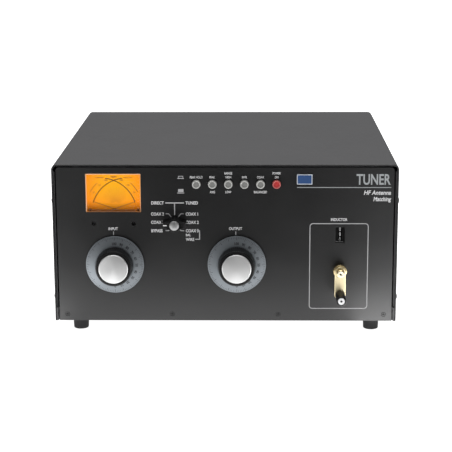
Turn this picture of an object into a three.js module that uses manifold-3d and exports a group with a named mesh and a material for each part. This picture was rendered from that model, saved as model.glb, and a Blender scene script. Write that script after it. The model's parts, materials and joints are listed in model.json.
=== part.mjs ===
// Manual antenna tuner: steel case, cross-needle meter, two air-variable capacitors on ball
// drives, roller inductor with crank and turns counter, antenna selector and push buttons.
// Millimetres. X to the right, Y into the case, Z up from the floor. The front faces -Y and
// the origin is the middle of the footprint at the bottom of the feet.
import * as THREE from 'three';
import { mergeVertices } from 'three/addons/utils/BufferGeometryUtils.js';
import Module from 'manifold-3d';

const wasm = await Module();
wasm.setup();

// ---------------------------------------------------------------- driving dimensions
const CASE = { width: 413, depth: 406, height: 193, sheet: 1.6, corner: 6.5 };
const FOOT = { height: 16.6, radius: 9.4, inset: 28 };
const CRANK_PROUD = 43;
const POST_PROUD = 24;
const GAP = 0.3;
const SIDES = { large: 28, medium: 20, small: 14, rod: 8 };
const PANEL = { halfWidth: 201.2, height: 189.3, corner: 4, thickness: 3, recess: 0.4, screwHole: 1.9 };
const REAR_THICKNESS = 2;
const FLANGE = { height: 16.5, thickness: 1.5, ear: 18, earTop: 184 };

// Centres of the controls on the front panel: x across, z above the bottom of the case.
const METER = { x: -133.2, z: 158.4, width: 66, height: 46.7 };
const ADJUSTER_HOLES = { pitch: 47.9, z: 121, radius: 2.5 };
const SELECTOR = { x: -60, z: 121.8 };
const DIALS = { input: { x: -132.5, z: 71.1 }, output: { x: 14.1, z: 71.4 } };
const BUTTONS = { firstX: -33.9, pitch: 19.08, z: 169.5, radius: 5, proud: 4, travel: 3 };
const BUTTON_NAMES = ['hold', 'average', 'range', 'scale', 'balanced', 'power'];
const COUNTER_WINDOW = { x: 137.8, z: 107.2, width: 11.1, height: 19.1 };
const CRANK = { x: 137.8, z: 64.7, throw: 27.6 };
const PANEL_SCREWS = { xs: [-191.5, -64.1, 64.1, 191.5], z: 8.5 };

// The drives behind the dials.
const DIAL = { radius: 35, face: 24, proud: 6, rim: 3.2, back: 1.2 };
const KNOB = { radius: 22.5, nose: 21.5, base: 6.5, proud: 24 };
const CAP = { radius: 17.5, base: 24.3, proud: 26.2 };
const SPINDLE = { radius: 3.175, bore: 3.7, sleeve: 6, hole: 6.6, length: 24 };
const PLATES = { moving: 7, pitch: 10, thickness: 1.6, radius: 36, shaft: 4 };
const CAPACITOR = { start: 36, endPlate: 4, halfWidth: 46, top: 46, rod: 3, bushing: 4.5 };

// The roller inductor behind the crank.
const COIL = { start: 42, length: 108, radius: 28, wire: 3, form: 24.6 };
const INDUCTOR = { endPlate: 4, halfWidth: 39, top: 50, end: 10, rod: 3 };
const ROLLER = { radius: 9.5, width: 5, angle: 125, rodRadius: 2.5 };
const COUNTER = { depth: 10.8, wheel: 9, width: 5.8, pitch: 6.3, shaft: 1.8 };
const MITRE = { inner: 4, outer: 8, clearance: 0.35 };

// Rear connectors: x across, z above the bottom of the case.
const REAR_ROW = 62;
const SOCKETS = {
  rf_input_socket: { x: 128, z: REAR_ROW },
  coax_socket_1: { x: 52, z: REAR_ROW },
  coax_socket_2: { x: 8, z: REAR_ROW },
  coax_socket_3: { x: -36, z: REAR_ROW },
};
const SOCKET = { flange: 25.4, barrel: 7.95, recess: 6.2, depth: 9, length: 15, body: 5.6, hole: 6 };
const POSTS = { balanced_post_1: { x: -98, z: REAR_ROW }, balanced_post_2: { x: -142, z: REAR_ROW } };
const POST = { skirt: 9, neck: 5.8, hole: 6.2, stud: 2.5 };
const GROUND = { x: 172, z: 26, stud: 3, nut: 6.5, hole: 3.4 };
const BALUN = { x: -120, inner: 22, outer: 45, height: 32, fromRear: 85 };

// ---------------------------------------------------------------- derived places
const FRONT = CRANK_PROUD - (CASE.depth + POST_PROUD + CRANK_PROUD) / 2;
const REAR = FRONT + CASE.depth;
const PANEL_FACE = FRONT + PANEL.recess;
const PANEL_BACK = PANEL_FACE + PANEL.thickness;
const REAR_FACE = REAR - PANEL.recess;
const REAR_INNER = REAR_FACE - REAR_THICKNESS;
const FLOOR = FOOT.height + CASE.sheet;

const up = (z) => FOOT.height + z;
const proud = (p) => PANEL_FACE - p;
const behind = (d) => PANEL_BACK + d;
const buttonX = (i) => BUTTONS.firstX + i * BUTTONS.pitch;

// ---------------------------------------------------------------- finishes
const FINISH = {
  panelPaint: [0x3a3a3c, 0.55, 0.2],
  coverPaint: [0x3c3c3e, 0.6, 0.2],
  zinc: [0x9a9c9e, 0.45, 0.8],
  rubber: [0x141414, 0.9, 0],
  blackPlastic: [0x161617, 0.45, 0],
  greyPlastic: [0x9a9a9a, 0.5, 0],
  redPlastic: [0xb41818, 0.4, 0],
  dialSilver: [0x8d949a, 0.4, 0.6],
  brightAluminium: [0xc9c9cb, 0.3, 0.9],
  plateAluminium: [0xb9bcc0, 0.4, 0.9],
  brass: [0xc9a24a, 0.35, 0.9],
  silverWire: [0xc8c8c6, 0.3, 0.9],
  ceramic: [0xe6e2d6, 0.5, 0],
  board: [0x2f5d3a, 0.6, 0],
  amberFace: [0xffa81e, 0.5, 0],
  clear: [0xdfe8ea, 0.05, 0],
  ferrite: [0x4a4644, 0.6, 0.1],
  steel: [0x8f9193, 0.35, 0.9],
};

const tuner = new THREE.Group();

/** Puts one named piece with a material of its own into the tuner. */
function add(name, geometry, [color, roughness, metalness]) {
  const mesh = new THREE.Mesh(geometry, new THREE.MeshStandardMaterial({ color, roughness, metalness }));
  mesh.name = name;
  tuner.add(mesh);
}

// ---------------------------------------------------------------- shape helpers

/** Six times the volume that the triangles enclose, negative when they face inwards. */
function signedVolume(geometry) {
  const { position } = geometry.attributes;
  const corner = [0, 1, 2].map(() => new THREE.Vector3());
  let total = 0;
  for (let i = 0; i < geometry.index.count; i += 3) {
    corner.forEach((v, k) => v.fromBufferAttribute(position, geometry.index.getX(i + k)));
    total += corner[0].dot(corner[1].clone().cross(corner[2]));
  }
  return total;
}

/** Merges shared corners and turns every face outwards. */
function closed(geometry) {
  geometry.deleteAttribute('normal');
  geometry.deleteAttribute('uv');
  const merged = mergeVertices(geometry, 1e-4);
  if (signedVolume(merged) < 0) {
    merged.index.array.reverse();
  }
  return merged;
}

function toSolid(geometry) {
  const merged = closed(geometry);
  return new wasm.Manifold(new wasm.Mesh({
    numProp: 3,
    vertProperties: new Float32Array(merged.attributes.position.array),
    triVerts: new Uint32Array(merged.index.array),
  }));
}

function toGeometry(solid) {
  const { vertProperties, triVerts } = solid.getMesh();
  const geometry = new THREE.BufferGeometry();
  geometry.setAttribute('position', new THREE.BufferAttribute(new Float32Array(vertProperties), 3));
  geometry.setIndex(new THREE.BufferAttribute(new Uint32Array(triVerts), 1));
  return geometry;
}

function join(...geometries) {
  return toGeometry(geometries.map(toSolid).reduce((whole, piece) => whole.add(piece)));
}

function cut(geometry, ...tools) {
  return toGeometry(tools.map(toSolid).reduce((left, tool) => left.subtract(tool), toSolid(geometry)));
}

/** A box between two corners. */
function box([x0, y0, z0], [x1, y1, z1]) {
  const geometry = new THREE.BoxGeometry(x1 - x0, y1 - y0, z1 - z0);
  geometry.translate((x0 + x1) / 2, (y0 + y1) / 2, (z0 + z1) / 2);
  return geometry;
}

/** A profile of [radius, y] points turned about a line along Y through x, z. */
function turned(profile, { x, z }, segments = SIDES.medium) {
  const points = profile.map(([radius, y]) => new THREE.Vector2(radius, y));
  return closed(new THREE.LatheGeometry(points, segments).translate(x, 0, z));
}

/** A profile of [radius, z] points turned about an upright line through x, y. */
function turnedUpright(profile, x, y, segments = SIDES.medium) {
  const points = profile.map(([radius, z]) => new THREE.Vector2(radius, z));
  return closed(new THREE.LatheGeometry(points, segments).rotateX(Math.PI / 2).translate(x, y, 0));
}

/** A profile whose last point joins its first, for a ring round the axis. */
const ring = (profile) => [...profile, profile[0]];

const tube = (inner, outer, y0, y1) => ring([[inner, y0], [outer, y0], [outer, y1], [inner, y1]]);
const rod = (radius, y0, y1) => [[0, y0], [radius, y0], [radius, y1], [0, y1]];

/** An outline in X and Z, given thickness from y0 towards the back of the case. */
function slab(shape, y0, thickness, curveSegments = SIDES.small / 2) {
  const options = { depth: thickness, bevelEnabled: false, curveSegments };
  const geometry = new THREE.ExtrudeGeometry(shape, options);
  return closed(geometry.rotateX(Math.PI / 2).translate(0, y0 + thickness, 0));
}

function rectangle(x0, z0, x1, z1) {
  const corners = [[x0, z0], [x1, z0], [x1, z1], [x0, z1]];
  return new THREE.Shape(corners.map(([x, z]) => new THREE.Vector2(x, z)));
}

/** The outline of a front or rear panel, with its top corners rounded. */
function panelOutline() {
  const { halfWidth, height, corner } = PANEL;
  const [bottom, top] = [up(GAP), up(GAP + height)];
  const outline = new THREE.Shape();
  outline.moveTo(-halfWidth, bottom);
  outline.lineTo(halfWidth, bottom);
  outline.absarc(halfWidth - corner, top - corner, corner, 0, Math.PI / 2, false);
  outline.absarc(corner - halfWidth, top - corner, corner, Math.PI / 2, Math.PI, false);
  return outline;
}

function rectangularHole(shape, { x, z, width, height }) {
  shape.holes.push(rectangle(x - width / 2, z - height / 2, x + width / 2, z + height / 2));
}

function roundHole(shape, x, z, radius) {
  shape.holes.push(new THREE.Path().absarc(x, z, radius, 0, 2 * Math.PI, true));
}

// ---------------------------------------------------------------- case

function frontPanel() {
  const outline = panelOutline();
  rectangularHole(outline, { ...METER, z: up(METER.z) });
  rectangularHole(outline, { ...COUNTER_WINDOW, z: up(COUNTER_WINDOW.z) });
  for (const side of [-1, 1]) {
    const x = METER.x + side * ADJUSTER_HOLES.pitch / 2;
    roundHole(outline, x, up(ADJUSTER_HOLES.z), ADJUSTER_HOLES.radius);
  }
  for (const { x, z } of Object.values(DIALS)) {
    roundHole(outline, x, up(z), SPINDLE.hole);
  }
  roundHole(outline, SELECTOR.x, up(SELECTOR.z), SELECTOR_SHAFT.hole);
  roundHole(outline, CRANK.x, up(CRANK.z), SELECTOR_SHAFT.hole);
  BUTTON_NAMES.forEach((_, i) => roundHole(outline, buttonX(i), up(BUTTONS.z), BUTTONS.radius + 0.4));
  PANEL_SCREWS.xs.forEach((x) => roundHole(outline, x, up(PANEL_SCREWS.z), PANEL.screwHole));
  return slab(outline, PANEL_FACE, PANEL.thickness);
}

/** Top and sides folded from one sheet, open at the front, the rear and the bottom. */
function topCover() {
  const half = CASE.width / 2;
  const top = up(CASE.height);
  const { sheet, corner } = CASE;
  const inner = corner - sheet;
  const outline = new THREE.Shape();
  outline.moveTo(half, up(0));
  outline.lineTo(half, top - corner);
  outline.absarc(half - corner, top - corner, corner, 0, Math.PI / 2, false);
  outline.absarc(corner - half, top - corner, corner, Math.PI / 2, Math.PI, false);
  outline.lineTo(-half, up(0));
  outline.lineTo(sheet - half, up(0));
  outline.absarc(corner - half, top - corner, inner, Math.PI, Math.PI / 2, true);
  outline.absarc(half - corner, top - corner, inner, Math.PI / 2, 0, true);
  outline.lineTo(half - sheet, up(0));
  return slab(outline, FRONT, CASE.depth);
}

/** Tray with a flange on all four sides and an upright ear at each corner. */
function bottomChassis() {
  const outer = CASE.width / 2 - CASE.sheet - GAP;
  const inner = outer - FLANGE.thickness;
  const y0 = PANEL_BACK + GAP;
  const y1 = REAR_INNER - GAP;
  const parts = [
    box([-outer, y0, up(0)], [outer, y1, FLOOR]),
    box([-inner - 1, y0, up(0)], [inner + 1, y0 + FLANGE.thickness, up(FLANGE.height)]),
    box([-inner - 1, y1 - FLANGE.thickness, up(0)], [inner + 1, y1, up(FLANGE.height)]),
  ];
  for (const side of [-1, 1]) {
    const [x0, x1] = [side * inner, side * outer].sort((a, b) => a - b);
    parts.push(box([x0, FRONT + GAP, up(0)], [x1, REAR - GAP, up(FLANGE.height)]));
    parts.push(box([x0, y0, up(0)], [x1, y0 + FLANGE.ear, up(FLANGE.earTop)]));
    parts.push(box([x0, y1 - FLANGE.ear, up(0)], [x1, y1, up(FLANGE.earTop)]));
  }
  return join(...parts);
}

function rearPanel() {
  const outline = panelOutline();
  for (const { x, z } of Object.values(SOCKETS)) {
    roundHole(outline, x, up(z), SOCKET.hole);
  }
  for (const { x, z } of Object.values(POSTS)) {
    roundHole(outline, x, up(z), POST.hole);
  }
  roundHole(outline, GROUND.x, up(GROUND.z), GROUND.hole);
  return slab(outline, REAR_INNER, REAR_THICKNESS);
}

/** A foot with a flat sole and a rounded edge. */
function foot(x, y) {
  const round = 1.5;
  const sole = FOOT.radius - round;
  const top = FOOT.height - GAP;
  const profile = [[0, 0], [sole, 0], [FOOT.radius, round], [FOOT.radius - 0.6, top], [0, top]];
  return turnedUpright(profile, x, y);
}

/** A domed screw head on one side of the cover: side -1 is the left. */
function coverScrew(side) {
  const points = [new THREE.Vector2(0, 0)];
  for (let i = 0; i <= SCREW.steps; i += 1) {
    const turn = (i / SCREW.steps) * Math.PI / 2;
    points.push(new THREE.Vector2(SCREW.radius * Math.cos(turn), SCREW.height * Math.sin(turn)));
  }
  const geometry = new THREE.LatheGeometry(points, SIDES.small).rotateZ(-side * Math.PI / 2);
  return closed(geometry.translate(side * (CASE.width / 2 + 0.05), FRONT + SCREW.inset, up(SCREW.z)));
}
const SCREW = { radius: 3.4, height: 1.9, inset: 9, z: 148, steps: 4 };

function addCase() {
  add('front_panel', frontPanel(), FINISH.panelPaint);
  add('top_cover', topCover(), FINISH.coverPaint);
  add('bottom_chassis', bottomChassis(), FINISH.coverPaint);
  add('rear_panel', rearPanel(), FINISH.panelPaint);
  for (const [end, y] of [['front', FRONT + FOOT.inset], ['rear', REAR - FOOT.inset]]) {
    add(`foot_${end}_left`, foot(FOOT.inset - CASE.width / 2, y), FINISH.rubber);
    add(`foot_${end}_right`, foot(CASE.width / 2 - FOOT.inset, y), FINISH.rubber);
  }
  add('cover_screw_left', coverScrew(-1), FINISH.steel);
  add('cover_screw_right', coverScrew(1), FINISH.steel);
}

// ---------------------------------------------------------------- cross-needle meter
const HOUSING = { wall: 2.2, depth: 30, face: 9, lens: 2.2, side: 3, top: 2, bottom: 8 };
const NEEDLE = { length: 42.6, width: 1, thickness: 0.5, hub: 2.2, tail: 4, rest: 19.4 };
const PIVOT = { x: 15.4, drop: 3 };

/** A block that covers the meter's window and these margins round it, from y0 to y1. */
function meterBlock(y0, y1, side, top = side, bottom = side) {
  const halfX = METER.width / 2 + side;
  const low = up(METER.z) - METER.height / 2 - bottom;
  const high = up(METER.z) + METER.height / 2 + top;
  return box([METER.x - halfX, y0, low], [METER.x + halfX, y1, high]);
}

/** Deep box behind the window, open to the front, with room for the pivots below the window. */
function meterHousing() {
  const { wall, depth, side, top, bottom } = HOUSING;
  const outside = meterBlock(behind(GAP), behind(depth), side + wall, top + wall, bottom + wall);
  const inside = meterBlock(behind(0), behind(depth - wall), side, top, bottom);
  return cut(outside, inside);
}

/** A pointer that turns about a pivot hidden below the window: side -1 is the left pivot. */
function needle(side, depth) {
  const pivot = needlePivot(side);
  const half = NEEDLE.width / 2;
  const outline = new THREE.Shape();
  outline.moveTo(-NEEDLE.tail, -half);
  outline.lineTo(NEEDLE.length, -half / 2);
  outline.lineTo(NEEDLE.length, half / 2);
  outline.lineTo(-NEEDLE.tail, half);
  const hub = new THREE.Shape().absarc(0, 0, NEEDLE.hub, 0, 2 * Math.PI, false);
  const flat = join(slab(outline, 0, NEEDLE.thickness), slab(hub, 0, NEEDLE.thickness));
  flat.rotateY(-THREE.MathUtils.degToRad(NEEDLE.rest));
  if (side > 0) {
    flat.scale(-1, 1, 1);
  }
  return closed(flat.translate(pivot.x, behind(depth), pivot.z));
}

function needlePivot(side) {
  return {
    x: METER.x + side * PIVOT.x,
    z: up(METER.z) - METER.height / 2 - PIVOT.drop,
  };
}

function addMeter() {
  add('meter_housing', meterHousing(), FINISH.blackPlastic);
  const { face, side, top, bottom } = HOUSING;
  const dialPlate = meterBlock(behind(face), behind(face + 1), side - GAP, top - GAP, bottom - GAP);
  add('meter_face', dialPlate, FINISH.amberFace);
  add('meter_lens', meterBlock(PANEL_FACE + GAP, PANEL_FACE + GAP + HOUSING.lens, -GAP), FINISH.clear);
  add('forward_needle', needle(-1, 4), FINISH.blackPlastic);
  add('reflected_needle', needle(1, 6), FINISH.blackPlastic);
}

// ---------------------------------------------------------------- antenna selector
const SELECTOR_KNOB = { hub: 8.6, length: 28.6, endHalf: 3.4, waist: 6, base: 1, proud: 14.8 };
const SELECTOR_SHAFT = { radius: 3, hole: 4, length: 58, disc: 12, discDepth: 35 };
const WAFER = { radius: 21, bore: 4, spacer: 17.5, depths: [9, 30, 50], thickness: 2.4, spacerSize: 4 };

/** Bar knob: a round hub with a tapered bar across it. */
function selectorKnob() {
  const { hub, length, endHalf, waist, base } = SELECTOR_KNOB;
  const depth = SELECTOR_KNOB.proud - base;
  const end = length / 2;
  const upper = [[end, endHalf], [0, waist], [-end, endHalf]];
  const lower = [[-end, -endHalf], [0, -waist], [end, -endHalf]];
  const bar = new THREE.Shape([...upper, ...lower].map(([x, z]) => new THREE.Vector2(x, z)));
  const round = turned(rod(hub, proud(base + depth), proud(base)), { x: 0, z: 0 });
  return join(slab(bar, proud(base + depth), depth), round).translate(SELECTOR.x, 0, up(SELECTOR.z));
}

function selectorRotor() {
  const { radius, length, disc, discDepth } = SELECTOR_SHAFT;
  const profile = [
    [0, proud(SELECTOR_KNOB.base - GAP)],
    [radius, proud(SELECTOR_KNOB.base - GAP)],
    [radius, behind(discDepth)],
    [disc, behind(discDepth)],
    [disc, behind(discDepth + 2)],
    [radius, behind(discDepth + 2)],
    [radius, behind(length)],
    [0, behind(length)],
  ];
  return turned(profile, { x: SELECTOR.x, z: up(SELECTOR.z) }, SIDES.small);
}

/** Index plate and two switch wafers on two spacers. */
function selectorWafer() {
  const centre = { x: SELECTOR.x, z: up(SELECTOR.z) };
  const parts = WAFER.depths.map((depth) => turned(
    tube(WAFER.bore, WAFER.radius, behind(depth), behind(depth + WAFER.thickness)),
    centre,
    SIDES.small,
  ));
  const half = WAFER.spacerSize / 2;
  const end = behind(WAFER.depths[2] + 6);
  for (const side of [-1, 1]) {
    const z = centre.z + side * WAFER.spacer;
    parts.push(box([centre.x - half, behind(GAP), z - half], [centre.x + half, end, z + half]));
  }
  return join(...parts);
}

function addSelector() {
  add('selector_knob', selectorKnob(), FINISH.blackPlastic);
  add('selector_rotor', selectorRotor(), FINISH.steel);
  add('selector_wafer', selectorWafer(), FINISH.ceramic);
}

// ---------------------------------------------------------------- dials and variable capacitors
const FIRST_PLATE = CAPACITOR.start + CAPACITOR.endPlate + PLATES.pitch;
const CAPACITOR_END = FIRST_PLATE + PLATES.moving * PLATES.pitch;

/** Numbered skirt on the sleeve that drives the capacitor. */
function dial(centre) {
  return turned(ring([
    [SPINDLE.bore, proud(DIAL.proud)],
    [DIAL.face, proud(DIAL.proud)],
    [DIAL.radius, proud(DIAL.rim)],
    [DIAL.radius, proud(DIAL.back)],
    [SPINDLE.sleeve, proud(DIAL.back)],
    [SPINDLE.sleeve, behind(SPINDLE.length)],
    [SPINDLE.bore, behind(SPINDLE.length)],
  ]), centre, SIDES.large);
}

/** Knob with the spindle that drives the balls. */
function knob(centre) {
  return turned([
    [0, proud(KNOB.proud)],
    [KNOB.nose, proud(KNOB.proud)],
    [KNOB.radius, proud(KNOB.base)],
    [SPINDLE.radius, proud(KNOB.base)],
    [SPINDLE.radius, behind(SPINDLE.length - 6)],
    [0, behind(SPINDLE.length - 6)],
  ], centre, SIDES.large);
}

function knobCap(centre) {
  const bevel = 0.8;
  return turned([
    [0, proud(CAP.proud)],
    [CAP.radius - bevel, proud(CAP.proud)],
    [CAP.radius, proud(CAP.proud - bevel)],
    [CAP.radius, proud(CAP.base)],
    [0, proud(CAP.base)],
  ], centre, SIDES.large);
}

/** The fixed ring of the ball drive, with its mounting flange on the panel. */
function ballDrive(centre) {
  const [bore, body, flange] = [SPINDLE.hole, 13, 17];
  return turned(ring([
    [bore, behind(GAP)],
    [flange, behind(GAP)],
    [flange, behind(2)],
    [body, behind(2)],
    [body, behind(13)],
    [bore, behind(13)],
  ]), centre);
}

/** Half-round moving plates, hanging down when fully meshed, on the long shaft. */
function rotor(centre) {
  const outline = new THREE.Shape();
  outline.moveTo(8, 7);
  outline.lineTo(-8, 7);
  outline.lineTo(-8, 0);
  outline.lineTo(-PLATES.radius, 0);
  outline.absarc(0, 0, PLATES.radius, Math.PI, 2 * Math.PI, false);
  outline.lineTo(8, 0);
  const shaft = rod(PLATES.shaft, behind(SPINDLE.length + GAP), behind(CAPACITOR_END + 8));
  const parts = [turned(shaft, { x: 0, z: 0 }, SIDES.rod)];
  for (let i = 0; i < PLATES.moving; i += 1) {
    parts.push(slab(outline, behind(FIRST_PLATE + i * PLATES.pitch), PLATES.thickness));
  }
  return join(...parts).translate(centre.x, 0, centre.z);
}

/** Fixed plates below the shaft, one more than the moving ones, on two bars. */
function stator(centre) {
  const [half, top, notch] = [40, -4, 9];
  const start = Math.asin(top / notch);
  const outline = new THREE.Shape();
  outline.moveTo(half, top);
  outline.lineTo(half, -half);
  outline.lineTo(-half, -half);
  outline.lineTo(-half, top);
  outline.absarc(0, 0, notch, Math.PI - start, start, false);
  const bar = 3;
  const y0 = CAPACITOR.start + CAPACITOR.endPlate + GAP;
  const parts = [-1, 1].map((side) => {
    const x = side * (half - bar);
    return box([x - bar, behind(y0), -half - bar], [x + bar, behind(CAPACITOR_END - GAP), -half + bar]);
  });
  for (let i = 0; i <= PLATES.moving; i += 1) {
    parts.push(slab(outline, behind(FIRST_PLATE + (i - 0.5) * PLATES.pitch), PLATES.thickness));
  }
  return join(...parts).translate(centre.x, 0, centre.z);
}

/** Two end plates that stand on the chassis, tied by bars at the corners. */
function standingFrame({ x, z }, size, bore, start, end, extraHoles = []) {
  const { halfWidth, top, endPlate, rod: bar } = size;
  const outline = rectangle(x - halfWidth, FLOOR + GAP, x + halfWidth, z + top);
  roundHole(outline, x, z, bore);
  extraHoles.forEach((hole) => roundHole(outline, hole.x, hole.z, hole.radius));
  const parts = [slab(outline, behind(start), endPlate), slab(outline, behind(end), endPlate)];
  const xs = [x - halfWidth + 2 * bar, x + halfWidth - 2 * bar];
  for (const barX of xs) {
    for (const barZ of [FLOOR + 2 * bar, z + top - 2 * bar]) {
      parts.push(box([barX - bar, behind(start), barZ - bar], [barX + bar, behind(end), barZ + bar]));
    }
  }
  return join(...parts);
}

function addDialDrive(name, place) {
  const centre = { x: place.x, z: up(place.z) };
  add(`${name}_dial`, dial(centre), FINISH.dialSilver);
  add(`${name}_knob`, knob(centre), FINISH.blackPlastic);
  add(`${name}_knob_cap`, knobCap(centre), FINISH.brightAluminium);
  add(`${name}_ball_drive`, ballDrive(centre), FINISH.brass);
  add(`${name}_rotor`, rotor(centre), FINISH.plateAluminium);
  add(`${name}_stator`, stator(centre), FINISH.plateAluminium);
  const frame = standingFrame(centre, CAPACITOR, CAPACITOR.bushing, CAPACITOR.start, CAPACITOR_END);
  add(`${name}_frame`, frame, FINISH.ceramic);
}

// ---------------------------------------------------------------- push buttons

/** Cap, retaining collar behind the panel, and stem. */
function button(x) {
  return turned([
    [0, proud(BUTTONS.proud)],
    [BUTTONS.radius - 0.5, proud(BUTTONS.proud)],
    [BUTTONS.radius, proud(BUTTONS.proud - 0.5)],
    [BUTTONS.radius, behind(GAP)],
    [BUTTONS.radius + 1.4, behind(GAP)],
    [BUTTONS.radius + 1.4, behind(1.6)],
    [2, behind(1.6)],
    [2, behind(5)],
    [0, behind(5)],
  ], { x, z: up(BUTTONS.z) }, SIDES.small);
}

/** The row of latching switches behind the buttons. */
function buttonBank() {
  const z = up(BUTTONS.z);
  const last = buttonX(BUTTON_NAMES.length - 1);
  const board = box([buttonX(0) - 9, behind(22), z - 10], [last + 9, behind(23.6), z + 10]);
  const bodies = BUTTON_NAMES.map((_, i) => box(
    [buttonX(i) - 6, behind(5 + BUTTONS.travel + 0.5), z - 6],
    [buttonX(i) + 6, behind(23), z + 6],
  ));
  return join(board, ...bodies);
}

function addButtons() {
  BUTTON_NAMES.forEach((name, i) => {
    add(`${name}_button`, button(buttonX(i)), name === 'power' ? FINISH.redPlastic : FINISH.greyPlastic);
  });
  add('button_bank', buttonBank(), FINISH.board);
}

// ---------------------------------------------------------------- crank, roller inductor, counter
const HUB = { radius: 8, back: 2, proud: 10 };
const ARM = { half: 6.5, base: 10.3, proud: 14.3 };
const HANDLE = { radius: 6, base: 14.8 };
const COIL_END = COIL.start + COIL.length;
const INDUCTOR_START = COIL.start - INDUCTOR.end - INDUCTOR.endPlate;
const INDUCTOR_END = COIL_END + INDUCTOR.end;
const crankCentre = { x: CRANK.x, z: up(CRANK.z) };
const handleCentre = { x: CRANK.x, z: up(CRANK.z) - CRANK.throw };

/** Hub and shaft, with the mitre gear blank that drives the counter. */
function crankHub() {
  const apex = COUNTER.depth;
  return turned([
    [0, proud(HUB.proud)],
    [HUB.radius, proud(HUB.proud)],
    [HUB.radius, proud(HUB.back)],
    [SPINDLE.radius, proud(HUB.back)],
    [SPINDLE.radius, behind(apex + MITRE.inner)],
    [MITRE.inner - MITRE.clearance, behind(apex + MITRE.inner)],
    [MITRE.outer - MITRE.clearance, behind(apex + MITRE.outer)],
    [SPINDLE.radius, behind(apex + MITRE.outer + 2)],
    [SPINDLE.radius, behind(INDUCTOR_START - 6)],
    [0, behind(INDUCTOR_START - 6)],
  ], crankCentre);
}

/** Flat bar with round ends, from the shaft down to the handle. */
function crankArm() {
  const outline = new THREE.Shape();
  outline.absarc(crankCentre.x, crankCentre.z, ARM.half, 0, Math.PI, false);
  outline.absarc(handleCentre.x, handleCentre.z, ARM.half, Math.PI, 2 * Math.PI, false);
  return slab(outline, proud(ARM.proud), ARM.proud - ARM.base, 10);
}

function crankHandle() {
  return turned([
    [0, proud(CRANK_PROUD + PANEL.recess)],
    [HANDLE.radius - 1, proud(CRANK_PROUD + PANEL.recess)],
    [HANDLE.radius, proud(CRANK_PROUD + PANEL.recess - 1)],
    [HANDLE.radius, proud(HANDLE.base)],
    [0, proud(HANDLE.base)],
  ], handleCentre);
}

/** Round form on its through shaft. */
function inductorForm() {
  const shaft = SPINDLE.radius;
  return turned([
    [0, behind(INDUCTOR_START - 5)],
    [shaft, behind(INDUCTOR_START - 5)],
    [shaft, behind(COIL.start - 4)],
    [COIL.form, behind(COIL.start - 4)],
    [COIL.form, behind(COIL_END + 4)],
    [shaft, behind(COIL_END + 4)],
    [shaft, behind(INDUCTOR_END + INDUCTOR.endPlate + 5)],
    [0, behind(INDUCTOR_END + INDUCTOR.endPlate + 5)],
  ], crankCentre);
}

const rollerPlace = (() => {
  const angle = THREE.MathUtils.degToRad(ROLLER.angle);
  const distance = COIL.radius + ROLLER.radius + GAP;
  return { x: crankCentre.x + distance * Math.cos(angle), z: crankCentre.z + distance * Math.sin(angle) };
})();

/** Grooved contact wheel that follows the wire, at the front end of the coil. */
function rollerWheel() {
  const y = COIL.start + COIL.wire / 2;
  const half = ROLLER.width / 2;
  const bore = ROLLER.rodRadius + 0.35;
  return turned(ring([
    [bore, behind(y - half)],
    [ROLLER.radius, behind(y - half)],
    [ROLLER.radius - 1, behind(y)],
    [ROLLER.radius, behind(y + half)],
    [bore, behind(y + half)],
  ]), rollerPlace);
}

function rollerRod() {
  const y0 = behind(INDUCTOR_START + GAP);
  const y1 = behind(INDUCTOR_END + INDUCTOR.endPlate - GAP);
  return turned(rod(ROLLER.rodRadius, y0, y1), rollerPlace, SIDES.rod);
}

/** Number wheel i, counted up from the units wheel at the bottom. */
function numberWheel(i) {
  const bottom = up(COUNTER_WINDOW.z) + (i - 1.5) * COUNTER.pitch + (COUNTER.pitch - COUNTER.width) / 2;
  const profile = tube(COUNTER.shaft + 0.35, COUNTER.wheel, bottom, bottom + COUNTER.width);
  return turnedUpright(profile, CRANK.x, behind(COUNTER.depth));
}

/** Upright shaft with its mitre gear blank, in mesh with the one on the crank shaft. */
function counterShaft() {
  const apex = up(CRANK.z);
  return turnedUpright([
    [0, apex + MITRE.inner],
    [MITRE.inner - MITRE.clearance, apex + MITRE.inner],
    [MITRE.outer - MITRE.clearance, apex + MITRE.outer],
    [COUNTER.shaft, apex + MITRE.outer + 2],
    [COUNTER.shaft, up(COUNTER_WINDOW.z) + 1.5 * COUNTER.pitch + 5],
    [0, up(COUNTER_WINDOW.z) + 1.5 * COUNTER.pitch + 5],
  ], CRANK.x, behind(COUNTER.depth), SIDES.small);
}

/** Bracket with a shelf above and below the number wheels. */
function counterFrame() {
  const half = COUNTER.wheel + 1.5;
  const back = COUNTER.depth + COUNTER.wheel + 1.2;
  const bottom = up(COUNTER_WINDOW.z) - 1.5 * COUNTER.pitch;
  const top = up(COUNTER_WINDOW.z) + 1.5 * COUNTER.pitch;
  const wall = 1.6;
  const [x0, x1] = [CRANK.x - half, CRANK.x + half];
  const shelf = (z) => box([x0, behind(GAP), z], [x1, behind(back + 1), z + wall]);
  const bracket = join(
    box([x0, behind(back), bottom - GAP - wall], [x1, behind(back + wall), top + GAP + wall]),
    shelf(bottom - GAP - wall),
    shelf(top + GAP),
  );
  const bore = rod(COUNTER.shaft + 0.4, bottom - 5, top + 8);
  return cut(bracket, turnedUpright(bore, CRANK.x, behind(COUNTER.depth), SIDES.rod));
}

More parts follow.
